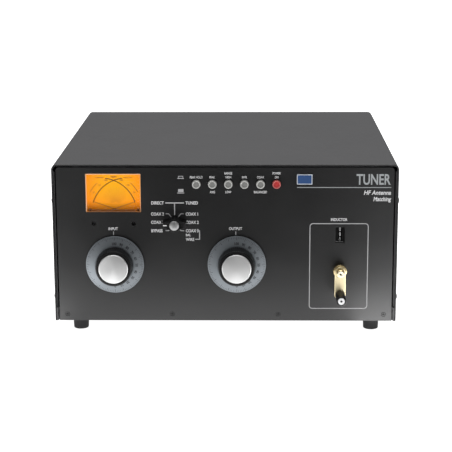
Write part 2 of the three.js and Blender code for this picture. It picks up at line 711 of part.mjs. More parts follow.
function addInductor() {
  add('crank_hub', crankHub(), FINISH.brass);
  add('crank_arm', crankArm(), FINISH.brass);
  add('crank_handle', crankHandle(), FINISH.blackPlastic);
  add('inductor_form', inductorForm(), FINISH.ceramic);
  const winding = tube(COIL.form + 0.35, COIL.radius, behind(COIL.start), behind(COIL_END));
  add('inductor_coil', turned(winding, crankCentre), FINISH.silverWire);
  const rodHole = { ...rollerPlace, radius: ROLLER.rodRadius + GAP };
  const frame = standingFrame(
    crankCentre, INDUCTOR, SPINDLE.bore, INDUCTOR_START, INDUCTOR_END, [rodHole],
  );
  add('inductor_frame', frame, FINISH.ceramic);
  add('roller_wheel', rollerWheel(), FINISH.brass);
  add('roller_rod', rollerRod(), FINISH.steel);
  add('counter_shaft', counterShaft(), FINISH.brass);
  ['units', 'tens', 'hundreds'].forEach((name, i) => {
    add(`${name}_wheel`, numberWheel(i), FINISH.blackPlastic);
  });
  add('counter_frame', counterFrame(), FINISH.zinc);
}

// ---------------------------------------------------------------- rear connectors and balun

/** Square-flange coaxial socket with a threaded barrel and a recessed contact. */
function coaxSocket(centre) {
  const { barrel, recess, depth, length, body, flange } = SOCKET;
  const plate = 1.6;
  const y = (d) => REAR_FACE + d;
  const shell = turned([
    [0, y(length - depth)],
    [recess, y(length - depth)],
    [recess, y(length)],
    [barrel, y(length)],
    [barrel, y(plate)],
    [body, y(plate)],
    [body, y(-REAR_THICKNESS - 8)],
    [0, y(-REAR_THICKNESS - 8)],
  ], centre);
  const { x, z } = centre;
  const half = flange / 2;
  const square = box([x - half, y(GAP), z - half], [x + half, y(GAP + plate), z + half]);
  return join(shell, square);
}

/** Ceramic feed-through with a threaded stud. */
function insulatedPost(centre) {
  const { skirt, neck, stud } = POST;
  const y = (d) => REAR_FACE + d;
  const inner = -REAR_THICKNESS - GAP;
  return turned([
    [0, REAR + POST_PROUD],
    [stud, REAR + POST_PROUD],
    [stud, y(15)],
    [neck, y(15)],
    [skirt, y(2)],
    [skirt, y(GAP)],
    [neck, y(GAP)],
    [neck, y(inner)],
    [skirt, y(inner)],
    [neck, y(inner - 10)],
    [stud, y(inner - 10)],
    [stud, y(inner - 18)],
    [0, y(inner - 18)],
  ], centre, SIDES.small);
}

/** Ground stud with its fixed nut outside the panel. */
function groundPost(centre) {
  const y = (d) => REAR_FACE + d;
  return turned([
    [0, y(22)],
    [GROUND.stud, y(22)],
    [GROUND.stud, y(4)],
    [GROUND.nut, y(4)],
    [GROUND.nut, y(GAP)],
    [GROUND.stud, y(GAP)],
    [GROUND.stud, y(-REAR_THICKNESS - 8)],
    [0, y(-REAR_THICKNESS - 8)],
  ], centre, SIDES.small);
}

/** Wound ferrite ring lying on the chassis. */
function balun() {
  const [low, high] = [FLOOR + GAP, FLOOR + GAP + BALUN.height];
  const round = 4;
  return turnedUpright(ring([
    [BALUN.inner, low + round],
    [BALUN.inner + round, low],
    [BALUN.outer - round, low],
    [BALUN.outer, low + round],
    [BALUN.outer, high - round],
    [BALUN.outer - round, high],
    [BALUN.inner + round, high],
    [BALUN.inner, high - round],
  ]), BALUN.x, REAR - BALUN.fromRear);
}

function addRear() {
  for (const [name, { x, z }] of Object.entries(SOCKETS)) {
    add(name, coaxSocket({ x, z: up(z) }), FINISH.brightAluminium);
  }
  for (const [name, { x, z }] of Object.entries(POSTS)) {
    add(name, insulatedPost({ x, z: up(z) }), FINISH.ceramic);
  }
  add('ground_post', groundPost({ x: GROUND.x, z: up(GROUND.z) }), FINISH.brass);
  add('balun', balun(), FINISH.ferrite);
}

addCase();
addMeter();
addSelector();
Object.entries(DIALS).forEach(([name, place]) => addDialDrive(name, place));
addButtons();
addInductor();
addRear();

export default tuner;
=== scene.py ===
"""Looks of the antenna tuner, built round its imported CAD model.

Lengths are millimetres in the CAD model's frame until finish_piece() turns them into metres.
"""
import json
import math

import bmesh
import bpy
from mathutils import Matrix, Vector


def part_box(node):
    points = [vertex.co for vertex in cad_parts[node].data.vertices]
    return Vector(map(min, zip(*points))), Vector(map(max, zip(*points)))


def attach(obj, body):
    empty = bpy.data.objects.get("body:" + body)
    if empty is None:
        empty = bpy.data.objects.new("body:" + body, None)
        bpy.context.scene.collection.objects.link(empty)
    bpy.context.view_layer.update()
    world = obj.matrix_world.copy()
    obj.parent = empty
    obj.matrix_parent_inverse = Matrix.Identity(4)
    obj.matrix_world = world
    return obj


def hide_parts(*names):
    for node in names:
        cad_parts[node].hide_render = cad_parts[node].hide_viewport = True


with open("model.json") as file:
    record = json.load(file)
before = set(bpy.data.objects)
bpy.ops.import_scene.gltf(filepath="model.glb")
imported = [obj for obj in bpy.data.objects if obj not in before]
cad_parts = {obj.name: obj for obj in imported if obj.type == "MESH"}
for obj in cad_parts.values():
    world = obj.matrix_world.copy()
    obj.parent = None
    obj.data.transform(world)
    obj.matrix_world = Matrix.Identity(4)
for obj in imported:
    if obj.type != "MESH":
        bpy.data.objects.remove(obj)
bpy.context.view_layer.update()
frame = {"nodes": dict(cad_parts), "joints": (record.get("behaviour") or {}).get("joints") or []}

MM = 0.001
GAP = 0.3
PRINT = 0.06


# ------------------------------------------------------------------ places from the frame
def span(node):
    """Lowest and highest corners of a CAD node."""
    low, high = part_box(node)
    return low / MM, high / MM


def middle(node):
    """x and z of the middle of a CAD node."""
    low, high = span(node)
    return (low.x + high.x) / 2, (low.z + high.z) / 2


def joint_place(name):
    """x and z of a hinge's axis."""
    joint = next(j for j in frame["joints"] if j["name"] == name)
    return joint["pos_m"][0] / MM, joint["pos_m"][2] / MM


PANEL_LOW, PANEL_HIGH = span("front_panel")
PANEL_FACE, PANEL_BACK = PANEL_LOW.y, PANEL_HIGH.y
REAR_INNER, REAR_FACE = span("rear_panel")[0].y, span("rear_panel")[1].y
COVER_LOW, COVER_HIGH = span("top_cover")
BASE = COVER_LOW.z
METER_LOW, METER_HIGH = span("meter_lens")
METER_X, METER_Z = middle("meter_lens")
SELECTOR_X, SELECTOR_Z = joint_place("selector_turn")
CRANK_X, CRANK_Z = joint_place("crank_turn")
HANDLE_X, HANDLE_Z = joint_place("handle_spin")
BUTTONS = ("hold", "average", "range", "scale", "balanced", "power")
WHEELS = ("units", "tens", "hundreds")
COUNTER_LOW = span("units_wheel")[0]
COUNTER_HIGH = span("hundreds_wheel")[1]
COUNTER_Y = (COUNTER_LOW.y + COUNTER_HIGH.y) / 2
COUNTER_HALF = 5.55
WINDOW = (METER_LOW.x - GAP, METER_LOW.z - GAP, METER_HIGH.x + GAP, METER_HIGH.z + GAP)
COVER_SHEET, COVER_CORNER = 1.6, 6.5
PANEL_CORNER = 4.0
DIALS = ("input", "output")
ADJUSTER_XS = (METER_X - 23.95, METER_X + 23.95)
ADJUSTER_Z = BASE + 121
SCREW_XS = (-191.5, -64.1, 64.1, 191.5)
REAR_SCREW_XS = (-192.0, -64.0, 64.0, 192.0)
SCREW_Z = BASE + 8.5
SHAFT = 3.175
SOCKETS = ("rf_input_socket", "coax_socket_1", "coax_socket_2", "coax_socket_3")
POSTS = ("balanced_post_1", "balanced_post_2")
SUPPLY = (150.0, BASE + 140)


def proud(distance):
    """The y of a point this far in front of the panel."""
    return PANEL_FACE - distance


# ------------------------------------------------------------------ materials
GRAIN_SCALE = 1500.0


def add_node(tree, kind, **values):
    """A new shader node of this kind with these inputs set."""
    made = tree.nodes.new("ShaderNode" + kind)
    for key, value in values.items():
        made.inputs[key.replace("_", " ")].default_value = value
    return made


def surface(name, color, roughness, metallic=0.0, vary=0.08, scale=30.0, grain=0.0,
            stretch=(1.0, 1.0, 1.0), **fixed):
    """A principled material whose colour, roughness and fine bump vary over the surface.

    fixed are sockets of the shader that stay constant.
    """
    made = bpy.data.materials.new(name)
    made.use_nodes = True
    tree, links = made.node_tree, made.node_tree.links
    shader = tree.nodes["Principled BSDF"]
    for key, value in {"Metallic": metallic, **fixed}.items():
        shader.inputs[key.replace("_", " ")].default_value = value

    place = add_node(tree, "TexCoord")
    mapping = add_node(tree, "Mapping", Scale=stretch)
    links.new(place.outputs["Object"], mapping.inputs["Vector"])
    broad = add_node(tree, "TexNoise", Scale=scale, Detail=6.0)
    links.new(mapping.outputs["Vector"], broad.inputs["Vector"])

    tint = add_node(tree, "Mix")
    tint.data_type = "RGBA"
    tint.inputs["A"].default_value = [c * (1 - vary) for c in color] + [1.0]
    tint.inputs["B"].default_value = [min(1.0, c * (1 + vary)) for c in color] + [1.0]
    links.new(broad.outputs["Fac"], tint.inputs["Factor"])
    links.new(tint.outputs["Result"], shader.inputs["Base Color"])

    dull = add_node(tree, "MapRange", To_Min=max(0.02, roughness * 0.85), To_Max=min(1.0, roughness * 1.15))
    links.new(broad.outputs["Fac"], dull.inputs["Value"])
    links.new(dull.outputs["Result"], shader.inputs["Roughness"])

    if grain:
        fine = add_node(tree, "TexNoise", Scale=GRAIN_SCALE, Detail=3.0)
        links.new(mapping.outputs["Vector"], fine.inputs["Vector"])
        bump = add_node(tree, "Bump", Strength=grain, Distance=0.0002)
        links.new(fine.outputs["Fac"], bump.inputs["Height"])
        links.new(bump.outputs["Normal"], shader.inputs["Normal"])
    return made


def turned_metal(name, color, roughness):
    """Metal faced on a lathe: fine rings about the piece's own Y axis and a spun highlight."""
    made = surface(name, color, roughness, metallic=1.0, vary=0.04, scale=60.0, Anisotropic=0.6)
    tree, links = made.node_tree, made.node_tree.links
    shader = tree.nodes["Principled BSDF"]
    tangent = add_node(tree, "Tangent")
    tangent.direction_type = "RADIAL"
    tangent.axis = "Y"
    links.new(tangent.outputs["Tangent"], shader.inputs["Tangent"])
    place = add_node(tree, "TexCoord")
    flat = add_node(tree, "VectorMath")
    flat.operation = "MULTIPLY"
    flat.inputs[1].default_value = (1.0, 0.0, 1.0)
    links.new(place.outputs["Object"], flat.inputs[0])
    radius = add_node(tree, "VectorMath")
    radius.operation = "LENGTH"
    links.new(flat.outputs["Vector"], radius.inputs[0])
    rings = add_node(tree, "TexNoise", Scale=6000.0)
    rings.noise_dimensions = "1D"
    links.new(radius.outputs["Value"], rings.inputs["W"])
    bump = add_node(tree, "Bump", Strength=0.12, Distance=0.0001)
    links.new(rings.outputs["Fac"], bump.inputs["Height"])
    links.new(bump.outputs["Normal"], shader.inputs["Normal"])
    return made


def lit_dial(name):
    """Translucent meter dial lit by its lamp from above, the lamp light painted as emission: yellow in the
    middle, orange outside, and painted shade that darkens it to brown below.
    """
    made = surface(name, (0.06, 0.025, 0.003), 0.8, vary=0.02, Specular_IOR_Level=0.1)
    tree, links = made.node_tree, made.node_tree.links
    shader = tree.nodes["Principled BSDF"]
    place = add_node(tree, "TexCoord")
    centred = add_node(tree, "Mapping", Location=(0.0, 0.0, -0.17), Scale=(1 / 0.040, 0.0, 1 / 0.034))
    links.new(place.outputs["Object"], centred.inputs["Vector"])
    distance = add_node(tree, "VectorMath")
    distance.operation = "LENGTH"
    links.new(centred.outputs["Vector"], distance.inputs[0])
    # painted lamp light: a yellow hot spot in the middle that turns orange outwards
    glow = add_node(tree, "ValToRGB")
    bands = glow.color_ramp.elements
    bands[0].color = (1.0, 0.47, 0.006, 1)
    bands[1].color = (0.93, 0.25, 0.010, 1)
    bands.new(0.55).color = (1.0, 0.38, 0.010, 1)
    links.new(distance.outputs["Value"], glow.inputs["Fac"])

    # painted shade: the glow dims to brown towards the bottom of the dial
    parts = add_node(tree, "SeparateXYZ")
    links.new(place.outputs["Object"], parts.inputs["Vector"])
    shade = add_node(tree, "MapRange")
    shade.interpolation_type = "SMOOTHSTEP"
    for key, value in (("From Min", -0.0245), ("From Max", -0.0105), ("To Min", 0.30)):
        shade.inputs[key].default_value = value
    links.new(parts.outputs["Z"], shade.inputs["Value"])
    dim = add_node(tree, "VectorMath")
    dim.operation = "SCALE"
    links.new(glow.outputs["Color"], dim.inputs[0])
    links.new(shade.outputs["Result"], dim.inputs["Scale"])
    links.new(dim.outputs["Vector"], shader.inputs["Emission Color"])
    shader.inputs["Emission Strength"].default_value = 1.0
    return made



PANEL_PAINT = surface("panel paint", (0.008, 0.008, 0.0085), 0.38, vary=0.05, scale=25, grain=0.10)
COVER_PAINT = surface("cover paint", (0.075, 0.075, 0.077), 0.55, vary=0.03, scale=20, grain=0.16,
                      Specular_IOR_Level=0.3)
ZINC = surface("zinc plate", (0.55, 0.56, 0.57), 0.38, 0.9, vary=0.12, scale=90, grain=0.05)
RUBBER = surface("foot rubber", (0.022, 0.022, 0.023), 0.75, vary=0.15, scale=200, grain=0.4)
KNOB_BLACK = surface("knob black", (0.005, 0.005, 0.0055), 0.36, vary=0.1, scale=80, grain=0.05,
                     Specular_IOR_Level=0.28)
BLACK = surface("black plastic", (0.018, 0.018, 0.019), 0.5, vary=0.1, scale=80, grain=0.1)
SCREW_BLACK = surface("blackened screw", (0.03, 0.03, 0.032), 0.35, 0.7, vary=0.2, scale=300)
CUT_EDGE = surface("painted cut edge", (0.012, 0.012, 0.012), 0.6, vary=0.1, scale=100,
                   Specular_IOR_Level=0.2)
WHEEL_BLACK = surface("number wheel", (0.005, 0.005, 0.005), 0.7, vary=0.1, scale=200,
                      Specular_IOR_Level=0.1)
MASK_BLACK = surface("counter mask", (0.0025, 0.0025, 0.0025), 0.8, vary=0.1, scale=300,
                     Specular_IOR_Level=0.1)
# painted highlight: the sill under the counter window is lighter grey where its edge catches light
SILL_HIGHLIGHT = surface("sill painted highlight", (0.22, 0.22, 0.22), 0.6, vary=0.1, scale=200)
RECESS = surface("shadowed recess", (0.008, 0.008, 0.008), 0.8, vary=0.1, scale=300)
STEEL = surface("bright steel", (0.62, 0.62, 0.63), 0.25, 1.0, vary=0.1, scale=200, grain=0.04)
BRASS = surface("machined brass", (0.74, 0.60, 0.33), 0.26, 1.0, vary=0.10, scale=120, grain=0.05,
                stretch=(1, 1, 6))
ARM_BRASS = surface("drawn brass", (0.80, 0.70, 0.46), 0.45, 1.0, vary=0.08, scale=120, grain=0.08,
                    stretch=(6, 1, 1))
CREAM_BRASS = turned_metal("faced brass", (0.95, 0.88, 0.68), 0.5)
FACED_STEEL = turned_metal("faced steel", (0.80, 0.80, 0.81), 0.35)
CAP_METAL = turned_metal("spun aluminium", (0.60, 0.60, 0.60), 0.48)
DIAL_SILVER = surface("dial silver", (0.175, 0.192, 0.208), 0.42, 0.55, vary=0.06, scale=50, grain=0.12)
DIAL_PRINT = surface("dial print", (0.012, 0.014, 0.016), 0.6, vary=0.1)
LETTERING = surface("panel print", (0.74, 0.74, 0.75), 0.6, vary=0.05)
TITLE_PRINT = surface("title print", (0.36, 0.38, 0.39), 0.6, vary=0.05)
LINE_PRINT = surface("line print", (0.44, 0.44, 0.45), 0.6, vary=0.05)
# the meter's print glows with painted lamp light, as its dial does
METER_PRINT = surface("meter print", (0.03, 0.008, 0.001), 0.7, vary=0.1,
                      Emission_Color=(0.07, 0.012, 0.0, 1), Emission_Strength=1.0)
FAINT_PRINT = surface("faint meter print", (0.1, 0.03, 0.005), 0.7, vary=0.1,
                      Emission_Color=(0.26, 0.06, 0.002, 1), Emission_Strength=1.0)
LIT_SCREW = surface("screw in lamp light", (0.16, 0.06, 0.02), 0.4, vary=0.1, scale=200,
                    Emission_Color=(0.10, 0.03, 0.004, 1), Emission_Strength=1.0)
METER_GLOW = lit_dial("lit meter dial")
# painted lamp light: the pivot cover glows over its dark brown
PIVOT_LAMPLIT = surface("pivot cover in painted lamp light", (0.10, 0.04, 0.01), 0.6, vary=0.1, scale=100,
                      Emission_Color=(0.10, 0.03, 0.004, 1), Emission_Strength=1.0)
# painted highlight: the glowing edge of the meter's lens
LENS_EDGE_HIGHLIGHT = surface("painted lens edge highlight", (0.5, 0.35, 0.28), 0.4, vary=0.05,
                    Emission_Color=(0.50, 0.26, 0.11, 1), Emission_Strength=1.0)
NEEDLE_PAINT = surface("needle paint", (0.09, 0.03, 0.006), 0.6, vary=0.1)
GLASS = surface("window glass", (1.0, 1.0, 1.0), 0.03, vary=0.0, scale=5, Transmission_Weight=1.0,
                IOR=1.15)
BUTTON_RING = surface("button ring", (0.52, 0.52, 0.50), 0.35, 0.25, vary=0.06, scale=200, grain=0.06)
BUTTON_DISC = surface("button disc", (0.22, 0.22, 0.21), 0.5, 0.1, vary=0.08, scale=200, grain=0.15)
RED_RING = surface("red button ring", (0.50, 0.11, 0.10), 0.35, 0.1, vary=0.06, scale=200, grain=0.06)
RED_DISC = surface("red button disc", (0.50, 0.012, 0.012), 0.4, vary=0.08, scale=200, grain=0.1)
CERAMIC = surface("glazed ceramic", (0.80, 0.77, 0.69), 0.25, vary=0.04, scale=60, grain=0.03,
                  Coat_Weight=0.3)
PLATE_METAL = surface("capacitor plate", (0.66, 0.67, 0.69), 0.35, 1.0, vary=0.06, scale=100,
                      stretch=(1, 8, 1), grain=0.05)
SILVER_WIRE = surface("silvered wire", (0.78, 0.77, 0.73), 0.28, 1.0, vary=0.12, scale=150)
NICKEL = surface("nickel plate", (0.66, 0.65, 0.62), 0.3, 1.0, vary=0.08, scale=150, grain=0.03)
WHITE_INSULATOR = surface("white insulator", (0.75, 0.73, 0.68), 0.5, vary=0.05, scale=100)
CIRCUIT_BOARD = surface("circuit board", (0.03, 0.15, 0.07), 0.45, vary=0.2, scale=120, grain=0.05)
FERRITE = surface("ferrite", (0.045, 0.042, 0.04), 0.6, 0.1, vary=0.2, scale=150, grain=0.3)
WIRE_RED = surface("red wire", (0.42, 0.03, 0.025), 0.45, vary=0.1, scale=100)
LETTER_WHITE = surface("white mark", (0.92, 0.92, 0.92), 0.5, vary=0.03)
DOME_METAL = surface("dull dome", (0.34, 0.34, 0.34), 0.5, 0.8, vary=0.08, scale=250, grain=0.1)
BADGE_BLUE = surface("badge blue", (0.03, 0.09, 0.26), 0.35, 0.2, vary=0.15, scale=150)
BADGE_SILVER = surface("badge silver", (0.72, 0.77, 0.84), 0.3, 0.4, vary=0.06, scale=150)


# ------------------------------------------------------------------ mesh helpers
def finish_piece(name, mesh, body, materials, replaces=(), origin=(0, 0, 0), angle=35):
    """Makes a piece from a bmesh in millimetres whose own origin is at this place."""
    bmesh.ops.recalc_face_normals(mesh, faces=mesh.faces[:])
    mesh.transform(Matrix.Scale(MM, 4))
    data = bpy.data.meshes.new(name)
    mesh.to_mesh(data)
    mesh.free()
    for one in materials if isinstance(materials, (list, tuple)) else [materials]:
        data.materials.append(one)
    data.shade_smooth()
    data.set_sharp_from_angle(angle=math.radians(angle))
    made = bpy.data.objects.new(name, data)
    made.location = Vector(origin) * MM
    bpy.context.scene.collection.objects.link(made)
    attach(made, body)
    if replaces:
        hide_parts(*replaces)
    return made


def rounded(points, radius, steps=3, ring=False):
    """The same outline with its corners turned into short curves of about this radius."""
    corners = [Vector(p) for p in points]
    result = []
    for k, here in enumerate(corners):
        if not ring and k in (0, len(corners) - 1):
            result.append(tuple(here))
            continue
        back = corners[k - 1] - here
        ahead = corners[(k + 1) % len(corners)] - here
        turn = back.angle(ahead)
        if turn > math.radians(170):
            result.append(tuple(here))
            continue
        size = min(radius / math.tan(turn / 2), 0.45 * back.length, 0.45 * ahead.length)
        start = here + back.normalized() * size
        end = here + ahead.normalized() * size
        for step in range(steps + 1):
            t = step / steps
            result.append(tuple((1 - t) ** 2 * start + 2 * t * (1 - t) * here + t * t * end))
    return result


def turned(profile, segments=64, ripple=None, shade=None):
    """A bmesh turned about the Y axis from [radius, y] points.

    A profile that doesn't start on the axis is a ring and closes on itself. ripple(radius, y,
    angle) gives a radius to use instead, and shade(radius, y) the material of a face.
    """
    mesh = bmesh.new()
    rings = []
    for radius, y in profile:
        if radius < 1e-6:
            rings.append([mesh.verts.new((0, y, 0))])
            continue
        ring = []
        for k in range(segments):
            angle = 2 * math.pi * k / segments
            r = ripple(radius, y, angle) if ripple else radius
            ring.append(mesh.verts.new((r * math.sin(angle), y, r * math.cos(angle))))
        rings.append(ring)
    last = len(profile) if profile[0][0] > 1e-6 else len(profile) - 1
    for k in range(last):
        a, b = rings[k], rings[(k + 1) % len(rings)]
        (r0, y0), (r1, y1) = profile[k], profile[(k + 1) % len(rings)]
        for i in range(segments):
            j = (i + 1) % segments
            if len(a) == 1 and len(b) == 1:
                continue
            if len(a) == 1:
                face = mesh.faces.new((a[0], b[j], b[i]))
            elif len(b) == 1:
                face = mesh.faces.new((a[i], a[j], b[0]))
            else:
                face = mesh.faces.new((a[i], a[j], b[j], b[i]))
            if shade:
                face.material_index = shade((r0 + r1) / 2, (y0 + y1) / 2)
    return mesh


def upright(mesh):
    """Stands a mesh turned about Y on end, so that its +Y points up."""
    mesh.transform(Matrix.Rotation(math.radians(90), 4, "X"))
    return mesh


def moved(mesh, x=0.0, y=0.0, z=0.0):
    mesh.transform(Matrix.Translation((x, y, z)))
    return mesh


def joined(*meshes):
    """One bmesh from several."""
    whole = meshes[0]
    for mesh in meshes[1:]:
        data = bpy.data.meshes.new("part")
        mesh.to_mesh(data)
        mesh.free()
        whole.from_mesh(data)
        bpy.data.meshes.remove(data)
    return whole


def polar(centre, radius, angle):
    """The point at this radius and this angle, in radians from +X towards +Z."""
    return (centre[0] + radius * math.cos(angle), centre[1] + radius * math.sin(angle))


def circle(x, z, radius, count=32):
    return [polar((x, z), radius, 2 * math.pi * k / count) for k in range(count)]


def rectangle(x0, z0, x1, z1, radius=0.0):
    corners = [(x0, z0), (x1, z0), (x1, z1), (x0, z1)]
    return rounded(corners, radius, steps=5, ring=True) if radius else corners


def cross(arm, width):
    """A cross-shaped recess for a screwdriver."""
    half = width / 2
    quarter = [(half, arm), (half, half), (arm, half)]
    points = []
    for turn in range(4):
        c, s = ((1, 0), (0, -1), (-1, 0), (0, 1))[turn]
        points += [(x * c - z * s, x * s + z * c) for x, z in quarter]
    return points


def meshed(curve):
    """A bmesh with the shape of a curve, which is then removed."""
    shape = bpy.data.objects.new("shape", curve)
    data = bpy.data.meshes.new_from_object(shape)
    bpy.data.objects.remove(shape)
    bpy.data.curves.remove(curve)
    mesh = bmesh.new()
    mesh.from_mesh(data)
    bpy.data.meshes.remove(data)
    return mesh


def plate(outline, holes, y0, y1, bevel=0.2, rounding=0):
    """A plate from an outline in X and Z with holes. Its edges are chamfered, or rounded in steps."""
    curve = bpy.data.curves.new("outline", "CURVE")
    curve.dimensions = "2D"
    curve.fill_mode = "BOTH"
    curve.extrude = (y1 - y0) / 2 - bevel
    curve.bevel_depth = bevel
    curve.bevel_resolution = rounding
    curve.offset = -bevel
    for loop in [outline, *holes]:
        spline = curve.splines.new("POLY")
        spline.points.add(len(loop) - 1)
        for point, (x, z) in zip(spline.points, loop):
            point.co = (x, z, 0, 1)
        spline.use_cyclic_u = True
    mesh = meshed(curve)
    bmesh.ops.remove_doubles(mesh, verts=mesh.verts[:], dist=1e-4)
    mesh.transform(Matrix.Rotation(math.radians(90), 4, "X"))
    return moved(mesh, y=(y0 + y1) / 2)


def wire(points, radius, sides=10, closed=False):
    """A bmesh tube of round section along these points."""
    curve = bpy.data.curves.new("wire", "CURVE")
    curve.dimensions = "3D"
    curve.bevel_depth = radius
    curve.bevel_resolution = sides // 4
    curve.use_fill_caps = True
    spline = curve.splines.new("POLY")
    spline.points.add(len(points) - 1)
    for point, place in zip(spline.points, points):
        point.co = (*place, 1)
    spline.use_cyclic_u = closed
    mesh = meshed(curve)
    bmesh.ops.remove_doubles(mesh, verts=mesh.verts[:], dist=1e-4)
    return mesh


def curved_route(points, steps=10):
    """A smooth route through a few points."""
    knots = [Vector(p) for p in points]
    knots = [2 * knots[0] - knots[1], *knots, 2 * knots[-1] - knots[-2]]
    route = []
    for a, b, c, d in zip(knots, knots[1:], knots[2:], knots[3:]):
        for step in range(steps):
            t = step / steps
            route.append(0.5 * (2 * b + (c - a) * t + (2 * a - 5 * b + 4 * c - d) * t ** 2
                                + (3 * b - a - 3 * c + d) * t ** 3))
    return [tuple(v) for v in [*route, knots[-2]]]


# ------------------------------------------------------------------ printing
def letter_shape(text, weight):
    """A flat mesh of the text, on its baseline."""
    curve = bpy.data.curves.new("letters", "FONT")
    curve.body = text
    curve.align_x = "CENTER"
    curve.resolution_u = 3
    curve.offset = weight
    return meshed(curve)


CAPITAL = max(v.co.y for v in letter_shape("H", 0.0).verts)


class Print:
    """Thin printing gathered into one piece. place(x, z, lift) gives a point on the surface."""

    def __init__(self, place):
        self.place = place
        self.mesh = bmesh.new()

    def take(self, flat, put):
        """Adds a flat mesh, giving it the thickness of the print."""
        corners = [(v.co.x, v.co.y) for v in flat.verts]
        low = [self.mesh.verts.new(self.place(*put(x, y), 0.01)) for x, y in corners]
        high = [self.mesh.verts.new(self.place(*put(x, y), PRINT)) for x, y in corners]
        flat.verts.index_update()
        for face in flat.faces:
            self.mesh.faces.new([high[v.index] for v in face.verts])
            self.mesh.faces.new([low[v.index] for v in reversed(face.verts)])
        for edge in flat.edges:
            if len(edge.link_faces) == 1:
                a, b = (v.index for v in edge.verts)
                self.mesh.faces.new((low[a], low[b], high[b], high[a]))
        flat.free()

    def text(self, text, x, z, height, align="CENTER", squeeze=0.9, weight=0.022, slant=0.0):
        """Text whose capitals have this height and their middle at z."""
        flat = letter_shape(text, weight)
        size = height / CAPITAL
        left = min(v.co.x for v in flat.verts)
        right = max(v.co.x for v in flat.verts)
        shift = {"LEFT": -left, "RIGHT": -right, "CENTER": -(left + right) / 2}[align]
        self.take(flat, lambda u, v: (
            x + (u + shift + slant * v) * size * squeeze,
            z + v * size - height / 2,
        ))

    def line(self, points, width, closed=False):
        """A line of even width with mitred corners."""
        knots = [Vector(p) for p in points]
        count = len(knots)
        sides = []
        for k, here in enumerate(knots):
            before = knots[k - 1] if closed or k else None
            after = knots[(k + 1) % count] if closed or k < count - 1 else None
            back = (here - before).normalized() if before is not None else None
            ahead = (after - here).normalized() if after is not None else None
            way = ((back or ahead) + (ahead or back)).normalized()
            normal = Vector((-way.y, way.x))
            bend = max(0.3, normal.dot(Vector((-(ahead or back).y, (ahead or back).x))))
            sides.append((here + normal * width / 2 / bend, here - normal * width / 2 / bend))
        flat = bmesh.new()
        rails = [[flat.verts.new((*p, 0)) for p in side] for side in sides]
        for k in range(count if closed else count - 1):
            (a, b), (c, d) = rails[k], rails[(k + 1) % count]
            flat.faces.new((a, b, d, c))
        self.take(flat, lambda u, v: (u, v))

    def arc(self, centre, radius, start, end, width, steps=40):
        """Part of a circle, in degrees from +X towards +Z."""
        angles = [math.radians(start + (end - start) * k / steps) for k in range(steps + 1)]
        self.line([polar(centre, radius, a) for a in angles], width)

    def piece(self, name, body, material, origin=(0, 0, 0)):
        return finish_piece(name, self.mesh, body, material, origin=origin)


def on_front(x, z, lift):
    return (x, PANEL_FACE - lift, z)


def on_rear(x, z, lift):
    """Reads the right way round from behind: x is across as seen from there."""
    return (-x, REAR_FACE + lift, z)


# ------------------------------------------------------------------ screws and other small parts
def phillips(radius, y, depth=0.9, domed=0.0, arm=0.62, turn=0.0):
    """A screw head that faces -Y, with a cross recess, its face at y. Material 1 is its recess.

    turn swings it about Z in degrees, so that it faces another way.
    """
    reach = radius * arm
    head = plate(circle(0, 0, radius, 28), [cross(reach, reach * 0.42)], y, y + depth, 0.15)
    floor = y + depth * 0.8
    rim, foot = radius * 0.9, y + depth + 1
    back = turned([(0, floor), (reach + 0.1, floor), (rim, floor), (rim, foot), (0, foot)], 28,
                  shade=lambda r, at: 1 if r < reach and at < floor + 0.1 else 0)
    if domed:
        for v in head.verts:
            if v.co.y < y + depth / 2:
                v.co.y += domed * (v.co.x ** 2 + v.co.z ** 2) / radius ** 2
    whole = joined(head, back)
    whole.transform(Matrix.Rotation(math.radians(turn), 4, "Z"))
    return whole


def socket_head(radius, y, depth, hexagon, inset=0.3):
    """A cap screw head that faces -Y, with a hexagon socket. Material 1 is the socket's floor."""
    head = plate(circle(0, 0, radius, 40), [circle(0, 0, hexagon, 6)], y, y + depth * 0.6, inset)
    floor = y + depth * 0.55
    lip = hexagon + 0.2
    back = turned([(0, floor), (lip, floor), (radius, floor), (radius, y + depth), (0, y + depth)], 40,
                  shade=lambda r, at: 1 if r < lip and at < floor + 0.1 else 0)
    return joined(head, back)


def hexagon_nut(across, bore, y0, y1):
    return plate(circle(0, 0, across / math.sqrt(3), 6), [circle(0, 0, bore, 24)], y0, y1, 0.25)


def threaded(radius, y0, y1, pitch, depth):
    """Profile points of a thread along Y, from y0 to y1."""
    count = max(1, round((y1 - y0) / pitch))
    step = (y1 - y0) / count
    root = radius - depth
    points = []
    for k in range(count):
        y = y0 + (y1 - y0) * k / count
        points += [(root, y + 0.1 * step), (radius, y + 0.4 * step), (radius, y + 0.6 * step),
                   (root, y + 0.95 * step)]
    return points


# ------------------------------------------------------------------ case
def folded_corner(side, inset):
    """Points of one bent corner of the cover, from its side up to its top; side -1 is the left."""
    radius = COVER_CORNER - inset
    angles = [math.radians(a) for a in range(0, 91, 9)]
    return [(side * (COVER_HIGH.x - COVER_CORNER + radius * math.cos(a)),
             COVER_HIGH.z - COVER_CORNER + radius * math.sin(a)) for a in angles]


def build_cover():
    """Folded sheet over the top and both sides. Its cut edges are darker than its faces."""
    half, inner = COVER_HIGH.x, COVER_HIGH.x - COVER_SHEET
    outline = [(half, BASE), *folded_corner(1, 0), *folded_corner(-1, 0)[::-1], (-half, BASE)]
    outline += [(-inner, BASE), *folded_corner(-1, COVER_SHEET), *folded_corner(1, COVER_SHEET)[::-1],
                (inner, BASE)]
    mesh = plate(outline, [], COVER_LOW.y, COVER_HIGH.y, 0.3)
    mesh.normal_update()
    for face in mesh.faces:
        face.material_index = 1 if abs(face.normal.y) > 0.9 else 0
    finish_piece("cover_shell", mesh, "case", [COVER_PAINT, CUT_EDGE], ["top_cover"])


